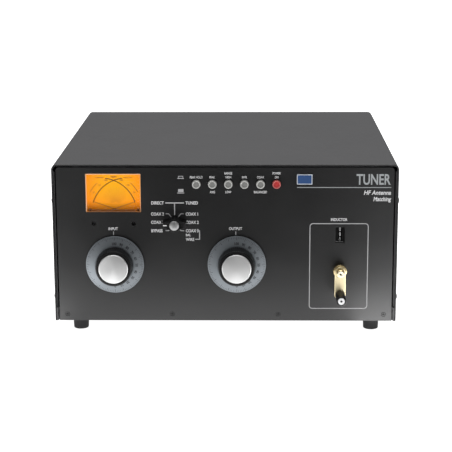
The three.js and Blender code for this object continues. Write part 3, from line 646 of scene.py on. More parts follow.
def panel_outline(low, high):
    """A panel's outline, with its top corners rounded."""
    arch = [math.radians(a) for a in range(0, 91, 15)]
    x, z = high.x - PANEL_CORNER, high.z - PANEL_CORNER
    right = [(x + PANEL_CORNER * math.cos(a), z + PANEL_CORNER * math.sin(a)) for a in arch]
    return [(low.x, low.z), (high.x, low.z), *right, *[(-x, z) for x, z in right[::-1]]]


def build_front_panel():
    """Panel with the meter window, control holes and screw holes."""
    low, high = PANEL_LOW, PANEL_HIGH
    holes = [rectangle(*WINDOW, 0.6)]
    holes.append(rectangle(CRANK_X - COUNTER_HALF, COUNTER_LOW.z - GAP,
                           CRANK_X + COUNTER_HALF, COUNTER_HIGH.z + GAP, 0.5))
    holes += [circle(x, ADJUSTER_Z, 2.5) for x in ADJUSTER_XS]
    for name in DIALS:
        holes.append(circle(*joint_place(f"{name}_dial_turn"), 6.6))
    holes.append(circle(SELECTOR_X, SELECTOR_Z, 4.0))
    holes.append(circle(CRANK_X, CRANK_Z, 4.0))
    holes += [circle(*middle(f"{name}_button"), 5.4) for name in BUTTONS]
    holes += [circle(x, SCREW_Z, 2.6) for x in SCREW_XS]
    mesh = plate(panel_outline(low, high), holes, low.y, high.y, 0.25)
    finish_piece("front_plate", mesh, "case", PANEL_PAINT, ["front_panel"])


def build_rear_panel():
    low, high = span("rear_panel")
    holes = [circle(*middle(name), 6.0) for name in SOCKETS]
    holes += [circle(*middle(name), 6.2) for name in POSTS]
    holes.append(circle(*middle("ground_post"), 3.4))
    holes.append(circle(*SUPPLY, 4.2))
    mesh = plate(panel_outline(low, high), holes, low.y, high.y, 0.2)
    finish_piece("rear_plate", mesh, "case", PANEL_PAINT, ["rear_panel"])


def build_gaskets():
    """Foam strips that close the gaps beside the rear panel and above both panels."""
    under_cover = COVER_HIGH.z - COVER_SHEET - 0.2
    top = rectangle(20 - PANEL_HIGH.x, PANEL_HIGH.z - 3, PANEL_HIGH.x - 20, under_cover)
    behind_front, before_rear = (PANEL_BACK + 0.1, PANEL_BACK + 3), (REAR_INNER - 3, REAR_INNER - 0.1)
    for word, (y0, y1) in (("front", behind_front), ("rear", before_rear)):
        finish_piece(f"top_gasket_{word}", plate(top, [], y0, y1, 0.2), "case", RUBBER)
    inner, outer = PANEL_HIGH.x + 0.1, PANEL_HIGH.x + 1.8
    low, high = BASE + 17, BASE + 184
    for side, word in ((-1, "left"), (1, "right")):
        x0, x1 = sorted((side * inner, side * outer))
        strip = plate(rectangle(x0, low, x1, high), [], REAR_INNER - 6, REAR_INNER, 0.2)
        finish_piece(f"rear_gasket_{word}", strip, "case", RUBBER)


def build_feet():
    """Rubber foot with a rounded sole, a recess and a washer under its screw."""
    for end in ("front", "rear"):
        for side in ("left", "right"):
            node = f"foot_{end}_{side}"
            low, high = span(node)
            x, y = (low.x + high.x) / 2, (low.y + high.y) / 2
            radius, height = (high.x - low.x) / 2, high.z
            profile = rounded([(0, 4.5), (4.2, 4.5), (4.2, 0), (radius - 0.3, 0), (radius, height * 0.45),
                               (radius - 0.7, height), (0, height)], 1.3, 4)
            mesh = upright(turned(profile, 48))
            finish_piece(f"rubber_{node}", mesh, "case", RUBBER, [node], origin=(x, y, 0))
            washer = upright(turned(rounded([(0, 4.3), (1.6, 4.3), (1.6, 3.2), (3.4, 3.2), (3.4, 4.3)], 0.2)
                                    + [(3.4, 4.5), (0, 4.5)], 24))
            finish_piece(f"screw_{node}", washer, "case", STEEL, origin=(x, y, 0))


def build_case_screws():
    """Screws of both panels and of the cover. Each side has one that is a CAD node."""
    for k, x in enumerate(SCREW_XS):
        mesh = phillips(2.45, PANEL_FACE + 0.15, arm=0.5)
        finish_piece(f"panel_screw_{k + 1}", moved(mesh, x=x, z=SCREW_Z), "case",
                     [PANEL_PAINT, RECESS])
    side_screws = [(y, BASE + z) for y in (COVER_LOW.y + 9, COVER_HIGH.y - 9) for z in (29, 148)]
    for side, word in ((-1, "left"), (1, "right")):
        node = f"cover_screw_{word}"
        outer = abs(span(node)[0 if side < 0 else 1].x)
        for k, (y, z) in enumerate(side_screws):
            head = phillips(3.2, COVER_HIGH.x - outer + 0.05, depth=1.0, domed=0.8, turn=side * 90)
            finish_piece(f"side_screw_{word}_{k + 1}", moved(head, side * COVER_HIGH.x, y, z), "case",
                         [SCREW_BLACK, RECESS], [node] if k == 1 else [])
    rear_screws = [(x, z) for x in REAR_SCREW_XS for z in (SCREW_Z, BASE + 181)]
    for k, (x, z) in enumerate(rear_screws):
        head = moved(phillips(2.8, -0.9, depth=0.8, domed=0.5, turn=180), x, REAR_FACE, z)
        finish_piece(f"rear_screw_{k + 1}", head, "case", [SCREW_BLACK, RECESS])


# ------------------------------------------------------------------ cross-needle meter
LEFT_PIVOT = joint_place("forward_swing")
RIGHT_PIVOT = joint_place("reflected_swing")
ARC_RADIUS = 42.3
FACE_Y = span("meter_face")[0].y


def on_dial_plate(x, z, lift):
    return (x, FACE_Y - lift, z)


def build_meter_face():
    low, high = span("meter_face")
    mesh = plate(rectangle(low.x - METER_X, low.z - METER_Z, high.x - METER_X, high.z - METER_Z),
                 [], low.y, high.y, 0.1)
    origin = (METER_X, 0, METER_Z)
    finish_piece("meter_dial_plate", mesh, "case", METER_GLOW, ["meter_face"], origin)

    scale = Print(on_dial_plate)
    fine = Print(on_dial_plate)
    _, z0, _, z1 = WINDOW
    figures = [(outer, degrees, ARC_RADIUS + 4.6) for outer, degrees in
               (("20", 32), ("100", 46), ("300", 58), ("1K", 69))]
    figures += [("5", 36, ARC_RADIUS - 9), ("3", 52, ARC_RADIUS - 9)]
    for side, pivot in ((1, RIGHT_PIVOT), (-1, LEFT_PIVOT)):
        def bearing(degrees):
            """An angle measured from the resting pointer's side, upwards."""
            return 180 - degrees if side > 0 else degrees
        scale.arc(pivot, ARC_RADIUS, bearing(17), bearing(83), 1.0)
        for k, degrees in enumerate(range(20, 82, 4)):
            reach = 2.2 if k % 3 == 0 else 1.3
            angle = math.radians(bearing(degrees))
            fine.line([polar(pivot, r, angle) for r in (ARC_RADIUS, ARC_RADIUS + reach)], 0.45)
        for figure, degrees, radius in figures:
            fine.text(figure, *polar(pivot, radius, math.radians(bearing(degrees))), 2.0)
        fine.arc(pivot, ARC_RADIUS + 8.5, bearing(30), bearing(46), 0.8, 16)
        word = "FORWARD" if side > 0 else "REFLECTED"
        fine.text(word, METER_X - side * 17, z1 - 6.8, 1.7, squeeze=0.8)
    fine.text("WATTS", METER_X, z1 - 5.8, 1.7)
    for degrees in range(-55, 56, 10):
        a = math.radians(degrees)
        fan = [(METER_X + 1.5 + r * math.sin(a * (0.75 + 0.01 * r)), z0 + 6 + r * math.cos(a))
               for r in range(5, 28 - abs(degrees) // 6, 2)]
        fine.line(fan, 0.4)
    scale.piece("meter_scale_arcs", "case", METER_PRINT)
    fine.piece("meter_scale_print", "case", FAINT_PRINT)


def build_meter_window():
    x0, z0, x1, z1 = WINDOW
    low, high = span("meter_lens")
    lens = plate(rectangle(low.x, low.z, high.x, high.z, 0.5), [], low.y, high.y, 0.3)
    finish_piece("meter_window", lens, "case", GLASS, ["meter_lens"])
    # a glowing frame just behind the lens paints the highlight on its edges
    inner = rectangle(x0 + 1.0, z0 + 0.35, x1 - 0.9, z1 - 1.3)
    rim = plate(rectangle(x0 + 0.1, z0 + 0.1, x1 - 0.1, z1 - 0.1), [inner], high.y + 0.1, high.y + 0.9, 0.1)
    finish_piece("meter_window_highlight_rim", rim, "case", LENS_EDGE_HIGHLIGHT)
    # painted shadow: a dark line round the window, where the panel's cut edge lies in shade
    window_shadow_line = Print(on_front)
    window_shadow_line.line(rectangle(x0 - 0.3, z0 - 0.2, x1 + 0.3, z1 + 0.5), 0.8, closed=True)
    window_shadow_line.piece("meter_window_shadow_line", "case", RECESS)
    # the pivot cover's glow is painted lamp light
    shelf = rectangle(METER_X - 26, z0 - 2, METER_X + 26, z0 + 2.2, 0.4)
    cover = plate(shelf, [], PANEL_BACK + 2, PANEL_BACK + 3.2, 0.2)
    finish_piece("pivot_cover", cover, "case", PIVOT_LAMPLIT)
    face, end, radius = PANEL_FACE + 2.2, PANEL_FACE + 9, 1.9
    for side, word, x in zip((-1, 1), ("left", "right"), ADJUSTER_XS):
        head = moved(phillips(2.6, FACE_Y - 1.1, 0.7, 0.3), x=METER_X + side * 28.9, z=z0 - 0.2)
        finish_piece(f"dial_plate_screw_{word}", head, "case", [LIT_SCREW, RECESS])
        slot = rectangle(-1.5, -0.3, 1.5, 0.3)
        adjuster = plate(circle(0, 0, radius, 24), [slot], face, face + 1.2, 0.15)
        barrel = turned([(0, face + 1.1), (radius, face + 1.1), (radius, end), (0, end)], 24)
        finish_piece(f"meter_adjuster_{word}", moved(joined(adjuster, barrel), x=x, z=ADJUSTER_Z),
                     "case", SCREW_BLACK)


def build_needles():
    """Tapered pointers with a round hub and a counterweight tail."""
    length, rest = 42.4, math.radians(19.4)
    for node, body, pivot, side in (("forward_needle", "forward_pointer", LEFT_PIVOT, 1),
                                    ("reflected_needle", "reflected_pointer", RIGHT_PIVOT, -1)):
        low, high = span(node)
        front, back = low.y - 0.3, high.y + 0.3
        blade = [(-3.6, -0.9), (-2.0, -0.5), (length, -0.2), (length, 0.2), (-2.0, 0.5), (-3.6, 0.9)]
        hub = turned(rounded([(0, front), (1.9, front), (1.9, back), (0, back)], 0.2), 24)
        mesh = joined(plate(blade, [], low.y, high.y, 0.05), hub)
        mesh.transform(Matrix.Rotation(-rest, 4, "Y"))
        if side < 0:
            mesh.transform(Matrix.Scale(-1, 4, (1, 0, 0)))
        finish_piece(f"{body}_arm", mesh, body, NEEDLE_PAINT, [node],
                     origin=(pivot[0], 0, pivot[1]))


# ------------------------------------------------------------------ antenna selector
def build_selector():
    low, high = span("selector_knob")
    half = (high.x - low.x) / 2
    end, waist, hub = 3.4, 6.0, 8.6
    sides = 12
    angle = math.radians(48)
    right = [(hub * math.sin(t), -hub * math.cos(t)) for t in
             [angle * (2 * k / sides - 1) for k in range(sides + 1)]]
    bar = [*right, (half, -end), (half, end), *[(-x, -z) for x, z in right], (-half, end), (-half, -end)]
    mesh = plate(rounded(bar, 0.8, 3, ring=True), [], low.y, high.y, 0.8, rounding=3)
    for v in mesh.verts:
        lift = (v.co.y - low.y) / (high.y - low.y)
        reach = max(0.0, abs(v.co.x) - hub) / (half - hub)
        v.co.y += 2.4 * reach * (1 - lift)
        v.co.z *= 1 - 0.12 * (1 - lift)
        v.co.x *= 1 - 0.05 * (1 - lift)
    origin = (SELECTOR_X, 0, SELECTOR_Z)
    finish_piece("selector_bar_knob", mesh, "selector", KNOB_BLACK, ["selector_knob"],
                 origin=origin)
    dome, rise = 5.8, 2.6
    arch = [math.radians(a) for a in range(0, 91, 6)]
    crown = [(dome * math.sin(a), low.y - rise * math.cos(a)) for a in arch]
    cap = turned([*crown, (dome, low.y + 1.2), (0, low.y + 1.2)], 48)
    finish_piece("selector_cap", cap, "selector", DOME_METAL, origin=origin)
    mark = plate(rectangle(-half * 0.93, -0.55, -half * 0.62, 0.55, 0.3), [], low.y + 1.2, low.y + 3.4, 0.1)
    finish_piece("selector_mark", mark, "selector", LETTER_WHITE, origin=origin)


# ------------------------------------------------------------------ tuning dials
DIAL_EDGE = 3.2
FLUTES = 60


def build_dial(name):
    x, z = joint_place(f"{name}_dial_turn")
    origin = (x, 0, z)
    low, high = span(f"{name}_dial")
    radius = (high.x - low.x) / 2
    front = low.y
    face, bore, sleeve = 24.0, 3.7, 6.0
    rim = proud(DIAL_EDGE)
    profile = rounded([(bore, front), (face, front), (radius - 0.3, rim), (radius, rim + 0.4),
                       (radius, proud(1.2)), (sleeve, proud(1.2)), (sleeve, high.y), (bore, high.y)],
                      0.35, 3, ring=True)
    finish_piece(f"{name}_dial_skirt", turned(profile, 128), f"{name}_tuning", DIAL_SILVER,
                 [f"{name}_dial"], origin=origin)

    slope = (rim - front) / (radius - 0.3 - face)

    def on_skirt(across, out, lift):
        """A point on the conical face: across is clockwise in radians, out is the radius."""
        return (out * math.sin(across), front + slope * max(0.0, out - face) - lift, out * math.cos(across))

    marks = Print(on_skirt)
    for k in range(100):
        angle = math.radians(3.6 * k)
        long = k % 5 == 0
        outer, inner = radius - 1.0, radius - (4.6 if long else 3.0)
        half = (0.24 if long else 0.17) / radius
        flat = bmesh.new()
        flat.faces.new([flat.verts.new((a, r, 0)) for a, r in (
            (angle - half, inner), (angle + half, inner), (angle + half, outer), (angle - half, outer))])
        marks.take(flat, lambda u, v: (u, v))
    figures, height = 26.4, 3.0
    for k in range(11):
        marks.text(str(100 - 10 * k), math.radians(18 * k), figures, height, squeeze=0.9 / 26.3, weight=0.03)
    marks.piece(f"{name}_dial_marks", f"{name}_tuning", DIAL_PRINT, origin=origin)

    build_knob(name, origin)


def build_knob(name, origin):
    """Fluted knob with a spun aluminium cap set in its face."""
    low, high = span(f"{name}_knob")
    radius = (high.x - low.x) / 2
    base = proud(6.5)
    nose = radius - 1.0

    def flutes(r, y, angle):
        if r < nose - 1.5 or y > base - 1.2 or y < low.y + 1.2:
            return r
        return r - 0.35 * (0.5 - 0.5 * math.cos(FLUTES * angle))

    grip = low.y + 1.3
    steps = [(nose + (radius - nose) * k / 6, grip + (base - 1.3 - grip) * k / 6) for k in range(7)]
    profile = [(0, low.y + 1.0), (18.2, low.y + 1.0), (18.4, low.y), (nose - 1.2, low.y),
               (nose - 0.3, low.y + 0.35), (nose, low.y + 1.15), *steps, (radius - 0.1, base - 0.4),
               (radius - 0.6, base), (SHAFT, base), (SHAFT, high.y), (0, high.y)]
    finish_piece(f"{name}_fluted_knob", turned(profile, FLUTES * 6, flutes), f"{name}_drive",
                 KNOB_BLACK, [f"{name}_knob"], origin=origin, angle=50)

    low, high = span(f"{name}_knob_cap")
    edge = (high.x - low.x) / 2
    profile = [(0, low.y), (edge - 1.1, low.y), (edge - 0.9, low.y + 0.05), (edge - 0.2, low.y + 0.7),
               (edge, low.y + 0.95), (edge, high.y + 0.8), (0, high.y + 0.8)]
    finish_piece(f"{name}_spun_cap", turned(profile, 128), f"{name}_drive", CAP_METAL,
                 [f"{name}_knob_cap"], origin=origin, angle=25)


# ------------------------------------------------------------------ push buttons
def build_buttons():
    """Round caps with a dished disc, a collar behind the panel and a stem."""
    radius, dish, collar, stem = 5.0, 3.5, 6.4, 2
    stop, collar_end = PANEL_BACK + GAP, PANEL_BACK + 1.6
    for name in BUTTONS:
        x, z = middle(f"{name}_button")
        low, high = span(f"{name}_button")
        y = low.y
        profile = [(0, y + 0.35), (dish - 0.3, y + 0.55), (dish, y + 0.15), (dish + 0.25, y),
                   (radius - 0.55, y), (radius - 0.15, y + 0.2), (radius, y + 0.6), (radius, stop),
                   (collar, stop), (collar, collar_end), (stem, collar_end), (stem, high.y), (0, high.y)]
        disc, ring = (RED_DISC, RED_RING) if name == "power" else (BUTTON_DISC, BUTTON_RING)
        mesh = turned(profile, 48, shade=lambda r, at: 0 if r < dish - 0.1 and at < PANEL_FACE else 1)
        finish_piece(f"{name}_push_cap", mesh, name, [disc, ring], [f"{name}_button"], origin=(x, 0, z))


# ------------------------------------------------------------------ crank
def build_crank():
    low, high = span("crank_hub")
    arm_low, arm_high = span("crank_arm")
    centre = (CRANK_X, 0, CRANK_Z)
    hub = (high.x - low.x) / 2
    profile = rounded([(0, low.y), (hub, low.y), (hub, proud(2)), (SHAFT, proud(2)), (SHAFT, high.y),
                       (0, high.y)], 0.7, 3)
    finish_piece("crank_hub_shaft", turned(profile, 64), "crank", BRASS, ["crank_hub"],
                 origin=centre)

    half = (arm_high.x - arm_low.x) / 2
    sweep = [math.radians(a) for a in range(0, 181, 10)]
    throw = CRANK_Z - HANDLE_Z
    outline = [(half * math.cos(a), half * math.sin(a)) for a in sweep]
    outline += [(-half * math.cos(a), -throw - half * math.sin(a)) for a in sweep]
    arm = plate(outline, [], arm_low.y, arm_high.y, 0.5)
    finish_piece("crank_bar", arm, "crank", ARM_BRASS, ["crank_arm"], origin=centre)

    foot = arm_low.y - 0.1
    face = foot - 8.6
    boss = turned(rounded([(0, face), (4.1, face), (5.0, face + 1.0), (5.0, foot), (0, foot)], 0.3), 48)
    finish_piece("crank_boss", boss, "crank", BRASS, origin=centre)
    head = socket_head(4.0, face - 0.8, 1.2, 1.2, 0.25)
    finish_piece("crank_hub_screw", head, "crank", [CREAM_BRASS, RECESS], origin=centre)

    low, high = span("crank_handle")
    grip = (high.x - low.x) / 2
    centre = (HANDLE_X, 0, HANDLE_Z)
    profile = rounded([(0, low.y + 1.7), (4.3, low.y + 1.7), (4.4, low.y), (grip - 0.6, low.y),
                       (grip, low.y + 0.8), (grip - 0.35, (low.y + high.y) / 2), (grip, high.y - 1),
                       (grip - 0.5, high.y), (0, high.y)], 0.4, 3)
    finish_piece("crank_grip", turned(profile, 64), "handle", KNOB_BLACK, ["crank_handle"],
                 origin=centre)
    screw = socket_head(4.15, low.y + 0.2, 1.4, 1.4, 0.3)
    finish_piece("crank_handle_screw", screw, "crank", [FACED_STEEL, RECESS], origin=centre)
    collar = turned(rounded([(0, high.y + 0.05), (4.2, high.y + 0.05), (4.2, arm_low.y - 0.02),
                             (0, arm_low.y - 0.02)], 0.1), 32)
    finish_piece("crank_handle_collar", collar, "crank", STEEL, origin=centre)

    bushing = turned(rounded([(3.5, proud(1.6)), (6.5, proud(1.6)), (6.5, proud(0.02)), (3.5, proud(0.02))],
                             0.3, 2, ring=True), 32)
    finish_piece("crank_bushing", bushing, "case", BRASS, origin=(CRANK_X, 0, CRANK_Z))


# ------------------------------------------------------------------ turns counter
TEETH = 16
MITRE_INNER, MITRE_OUTER, MITRE_CLEARANCE = 4.0, 8.0, 0.35


def mitre_gear():
    """A bevel gear with a tooth at 12 o'clock. Its apex is its own origin and its axis is +Y."""
    def teeth(radius, y, angle):
        if radius < 3.5:
            return radius
        return radius + 0.06 * radius * math.cos(TEETH * angle)
    cone = [(y - MITRE_CLEARANCE, y) for y in (MITRE_INNER, (MITRE_INNER + MITRE_OUTER) / 2, MITRE_OUTER)]
    back = MITRE_OUTER + 1.6
    return turned([(0, MITRE_INNER), *cone, (MITRE_OUTER - 1.4, MITRE_OUTER + 1.2), (3.2, back), (0, back)],
                  TEETH * 8, teeth)


def build_counter():
    """Bevel gears, spindle and the three numbered wheels."""
    gear = mitre_gear()
    finish_piece("crank_bevel_gear", gear, "crank", BRASS, origin=(CRANK_X, COUNTER_Y, CRANK_Z))
    low, high = span("counter_shaft")
    gear = upright(mitre_gear())
    gear.transform(Matrix.Rotation(math.radians(180 / TEETH), 4, "Z"))
    top = high.z - CRANK_Z
    spindle = upright(turned(rounded([(0, MITRE_OUTER), (1.8, MITRE_OUTER), (1.8, top), (0, top)], 0.3), 24))
    finish_piece("counter_spindle", joined(gear, spindle), "counter_units", BRASS, ["counter_shaft"],
                 origin=(CRANK_X, COUNTER_Y, CRANK_Z))
    origin = (CRANK_X, COUNTER_Y, 0)
    bore, digit_height = 2.15, 4.5
    for name in WHEELS:
        low, high = span(f"{name}_wheel")
        radius = (high.x - low.x) / 2
        rim, z0, z1 = radius - 0.15, low.z, high.z
        profile = rounded([(bore, z0), (rim, z0), (rim, z1), (bore, z1)], 0.12, 2, ring=True)
        wheel = upright(turned(profile, 60))
        finish_piece(f"{name}_number_wheel", wheel, f"counter_{name}",
                     WHEEL_BLACK, [f"{name}_wheel"], origin=origin)

        def on_wheel(across, up, lift):
            r = rim + lift
            return (r * math.sin(across), -r * math.cos(across), up)

        digits = Print(on_wheel)
        for digit in range(10):
            digits.text(str(digit), math.radians(36 * digit), (z0 + z1) / 2, digit_height,
                        squeeze=0.65 / radius, weight=0.02)
        digits.piece(f"{name}_digits", f"counter_{name}", LETTER_WHITE, origin=origin)


def build_counter_mask():
    """Black insert in the counter window. Its slot shows one digit of each wheel."""
    x0, x1 = CRANK_X - COUNTER_HALF + 0.05, CRANK_X + COUNTER_HALF - 0.05
    z0, z1 = COUNTER_LOW.z - GAP + 0.05, COUNTER_HIGH.z + GAP - 0.05
    slot = rectangle(CRANK_X - 2.0, z0 + 1.6, CRANK_X + 2.0, z1 - 0.6, 0.4)
    depth = PANEL_FACE + 1.4
    face = plate(rectangle(x0, z0, x1, z1, 0.45), [slot], depth, depth + 0.6, 0.1)
    # the sill's lighter grey is a painted highlight along the bottom of the counter window; the sill also
    # faces up
    sill = plate(rectangle(x0 + 0.3, z0 + 1.1, x1 - 1.6, z0 + 1.5), [], depth - 0.5, depth, 0.1)
    finish_piece("counter_mask", face, "case", MASK_BLACK)
    finish_piece("counter_mask_sill", sill, "case", SILL_HIGHLIGHT)


# ------------------------------------------------------------------ roller inductor and inner parts
def build_inductor():
    """The helix of silvered wire that stands for the plain sleeve."""
    low, high = span("inductor_coil")
    gauge, pitch, steps = 1.5, 4.0, 40
    radius = (high.x - low.x) / 2 - gauge
    turns = (high.y - low.y - 2 * gauge) / pitch
    points = []
    for k in range(int(turns * steps) + 1):
        angle = 2 * math.pi * k / steps
        y = low.y + gauge + pitch * k / steps
        points.append((radius * math.sin(angle), y, radius * math.cos(angle)))
    finish_piece("inductor_winding", wire(points, gauge, 8), "crank", SILVER_WIRE,
                 ["inductor_coil"], origin=(CRANK_X, 0, CRANK_Z))


def build_couplings():
    """Insulated coupling between each dial's sleeve and its capacitor's shaft."""
    wide, narrow, outer = 6.1, 4.05, 9.5
    for name in DIALS:
        x, z = joint_place(f"{name}_dial_turn")
        y = span(f"{name}_dial")[1].y
        front, step, back = y - 5, y + 0.2, y + 6
        profile = rounded([(wide, front), (outer, front), (outer, back), (narrow, back), (narrow, step),
                           (wide, step)], 0.5, 2, ring=True)
        finish_piece(f"{name}_coupling", turned(profile, 40), f"{name}_tuning", CERAMIC,
                     origin=(x, 0, z))


def build_balun_winding():
    """Insulated wire wound through the ring."""
    low, high = span("balun")
    centre = (low + high) / 2
    outer, inner = (high.x - low.x) / 2, 22.0
    gauge, turns, steps = 1.3, 22, 16
    middle_radius = (outer + inner) / 2
    width, rise = (outer - inner) / 2 + gauge, (high.z - low.z) / 2 + gauge

    def squared(wave):
        """A sine or cosine with flatter tops, so that the turns follow the ring's square section."""
        return math.copysign(abs(wave) ** 0.5, wave)

    points = []
    for k in range(turns * steps):
        spin = 2 * math.pi * k / steps
        around = math.radians(20 + 320 * k / (turns * steps))
        radius = middle_radius + squared(math.cos(spin)) * width
        points.append((radius * math.cos(around), radius * math.sin(around), squared(math.sin(spin)) * rise))
    finish_piece("balun_winding", wire(points, gauge - 0.1, 8), "case", WIRE_RED,
                 origin=(centre.x, centre.y, centre.z + 1.5))


def build_wiring():
    """Heavy straps and wires between the inner parts."""
    def wire_piece(name, points, radius, material):
        finish_piece(name, wire(curved_route(points), radius), "case", material)

    rear = REAR_INNER - 12
    x, z = middle("rf_input_socket")
    input_x, input_z = middle("input_frame")
    output_x = middle("output_frame")[0]
    back = span("input_frame")[1].y
    strap = BASE + 128
    rf_route = [(x, rear, z), (x, rear - 30, z + 30), (60, 60, strap), (-40, -20, strap),
                (SELECTOR_X, PANEL_BACK + 62, SELECTOR_Z + 8)]
    wire_piece("rf_input_wire", rf_route, 1.4, SILVER_WIRE)
    strap_route = [(input_x + 40, back + 6, input_z + 30), (input_x + 80, back + 40, strap - 30),
                   (output_x - 10, back + 40, strap - 30), (output_x + 36, back + 6, input_z + 30)]
    wire_piece("tuning_strap", strap_route, 1.6, SILVER_WIRE)
    supply_x, supply_z = SUPPLY
    lamp_route = [(supply_x, rear, supply_z), (supply_x, 100, supply_z + 20), (0, 40, supply_z + 24),
                  (METER_X + 20, PANEL_BACK + 60, METER_Z), (METER_X, PANEL_BACK + 34, METER_Z)]
    wire_piece("lamp_lead", lamp_route, 0.9, WIRE_RED)


def build_meter_board():
    """Circuit board behind the meter, with its components."""
    low, high = span("meter_housing")
    y = high.y + 3
    board = plate(rectangle(low.x + 2, low.z + 4, high.x - 2, high.z - 4, 1.0), [], y, y + 1.6, 0.1)
    finish_piece("meter_board", board, "case", CIRCUIT_BOARD)
    cans = []
    for k in range(8):
        foot, top = y + 1.7, y + 8 + 2 * (k % 3)
        can = turned(rounded([(0, foot), (2.6, foot), (2.6, top), (0, top)], 0.4), 20)
        cans.append(moved(can, x=low.x + 10 + 7.4 * k, z=low.z + 14 + 22 * (k % 2)))
    finish_piece("meter_board_parts", joined(*cans), "case", BLACK)


# ------------------------------------------------------------------ rear connectors
FLANGE_HOLE, FLANGE_CORNERS = 9.1, ((-1, -1), (1, -1), (1, 1), (-1, 1))


def build_sockets():
    """Coaxial sockets: flange and threaded shell, insulator, contact and four screws each."""
    y = REAR_FACE
    for name in SOCKETS:
        x, z = middle(name)
        low, high = span(name)
        origin = (x, 0, z)
        half = (high.x - low.x) / 2
        mouth = high.y
        screws = [(sx * FLANGE_HOLE, sz * FLANGE_HOLE) for sx, sz in FLANGE_CORNERS]
        holes = [circle(0, 0, 6.2), *[circle(*place, 1.5, 20) for place in sorted(screws)]]
        flange = plate(rectangle(-half, -half, half, half, 1.5), holes, y + GAP, y + GAP + 1.5, 0.2)
        thread = threaded(7.9, y + 3.2, mouth - 0.6, 1.06, 0.45)
        barrel = turned([(6.3, y + 0.1), (7.3, y + 0.1), *thread, (7.4, mouth), (6.3, mouth),
                         (6.3, mouth - 9)], 48)
        finish_piece(f"{name}_shell", joined(flange, barrel), "case", NICKEL, [name],
                     origin=origin, angle=30)
        core = turned([(2.0, mouth - 6.5), (2.6, mouth - 3.2), (5.2, mouth - 3.2), (5.6, mouth - 5.5),
                       (6.1, mouth - 8.8), (6.1, y + 0.6), (5.5, y + 0.2), (5.5, low.y + 3),
                       (2.0, low.y + 3)], 40)
        finish_piece(f"{name}_insulator", core, "case", WHITE_INSULATOR, origin=origin)
        pin = turned([(0, mouth - 10), (0, low.y), (1.95, low.y), (1.95, mouth - 8), (1.9, mouth - 3.4),
                      (1.2, mouth - 10)], 24)
        finish_piece(f"{name}_contact", pin, "case", BRASS, origin=origin)
        for k, (across, up) in enumerate(screws):
            head = phillips(2.3, -0.9, depth=0.8, domed=0.4, turn=180)
            moved(head, x + across, y + GAP + 1.5, z + up)
            finish_piece(f"{name}_screw_{k + 1}", head, "case", [STEEL, RECESS])


def wing_nut():
    """A wing nut whose axis is +Y, its base at y = 0."""
    body = turned(rounded([(2.6, 0), (5.2, 0), (4.2, 7), (2.6, 7)], 0.5, 2, ring=True), 32)
    wings = plate(rounded([(-12, 9.5), (-9, 12), (-5.5, 6), (-4, 2), (4, 2), (5.5, 6), (9, 12), (12, 9.5),
                           (7.5, 2.5), (5, 0.4), (-5, 0.4), (-7.5, 2.5)], 1.2, 3, ring=True),
                  [], -1.1, 1.1, 0.5)
    wings.transform(Matrix.Rotation(math.radians(-90), 4, "X"))
    for v in list(wings.verts):
        if abs(v.co.x) < 3.4:
            v.co.x = math.copysign(3.4, v.co.x)
    return joined(body, wings)


def build_posts():
    """Ribbed insulators of the balanced line, with their studs and nuts."""
    y, inner, bore = REAR_FACE, REAR_INNER - GAP, 2.6
    for name in POSTS:
        x, z = middle(name)
        low, high = span(name)
        origin = (x, 0, z)
        ribs = []
        for k in range(3):
            at = y + 2.2 + 4.1 * k
            r = 8.8 - 0.9 * k
            ribs += [(r, at), (r, at + 1.8), (r - 2.0, at + 2.3), (r - 2.0, at + 3.6)]
        shell = rounded([(bore, y + GAP), (8.9, y + GAP), *ribs, (5.4, y + 14.8), (bore, y + 14.8)], 0.5, 2,
                        ring=True)
        inside = rounded([(bore, inner), (5.7, inner + 2.2), (5.7, inner), (8.8, inner), (5.8, inner - 9.8),
                          (bore, inner - 9.8)], 0.4, 2, ring=True)
        finish_piece(f"{name}_insulator", joined(turned(shell, 48), turned(inside, 40)), "case",
                     CERAMIC, [name], origin=origin)
        thread = threaded(2.45, low.y + 0.3, high.y - 0.3, 1.0, 0.3)
        stud = turned([(0, low.y), (2.1, low.y), *thread, (2.0, high.y), (0, high.y)], 24)
        finish_piece(f"{name}_stud", stud, "case", BRASS, origin=origin, angle=20)
        nut = hexagon_nut(8, bore, y + 15.0, y + 18.0)
        finish_piece(f"{name}_nut", nut, "case", BRASS, origin=origin)


def build_ground_post():
    """Stud with a nut, a washer and a wing nut."""
    x, z = middle("ground_post")
    low, high = span("ground_post")
    y = REAR_FACE
    thread = threaded(2.95, low.y + 0.3, high.y - 0.3, 1.0, 0.3)
    stud = turned([(0, low.y), (2.6, low.y), *thread, (2.4, high.y), (0, high.y)], 24)
    nut = hexagon_nut(11, 3.05, y + 1.2, y + 4.6)
    washer = turned([(3.1, y + 0.2), (6.4, y + 0.2), (6.4, y + 1.1), (3.1, y + 1.1)], 32)
    finish_piece("ground_stud", joined(stud, nut, washer), "case", BRASS, ["ground_post"],
                 origin=(x, 0, z), angle=20)
    finish_piece("ground_wing_nut", moved(wing_nut(), y=y + 8), "case", STEEL,
                 origin=(x, 0, z))


def build_supply_socket():
    """Round socket for the lamp's supply."""
    y, bore, tail = REAR_FACE, 2.6, REAR_FACE - 10
    origin = (SUPPLY[0], 0, SUPPLY[1])
    barrel = turned(rounded([(bore, y + 3), (3.8, y + 3), (3.8, y + 0.1), (4.1, tail), (bore, tail)], 0.3, 2,
                            ring=True), 32)
    nut = hexagon_nut(11, 4.0, y + 0.1, y + 2.2)
    finish_piece("supply_socket", joined(barrel, nut), "case", NICKEL, origin=origin)
    pin = turned([(0, y + 1.5), (1.0, y + 1.5), (1.0, tail), (0, tail)], 16)
    finish_piece("supply_socket_pin", pin, "case", BRASS, origin=origin)


# ------------------------------------------------------------------ panel printing
LEGEND, REAR_LEGEND = 3.6, 3.4


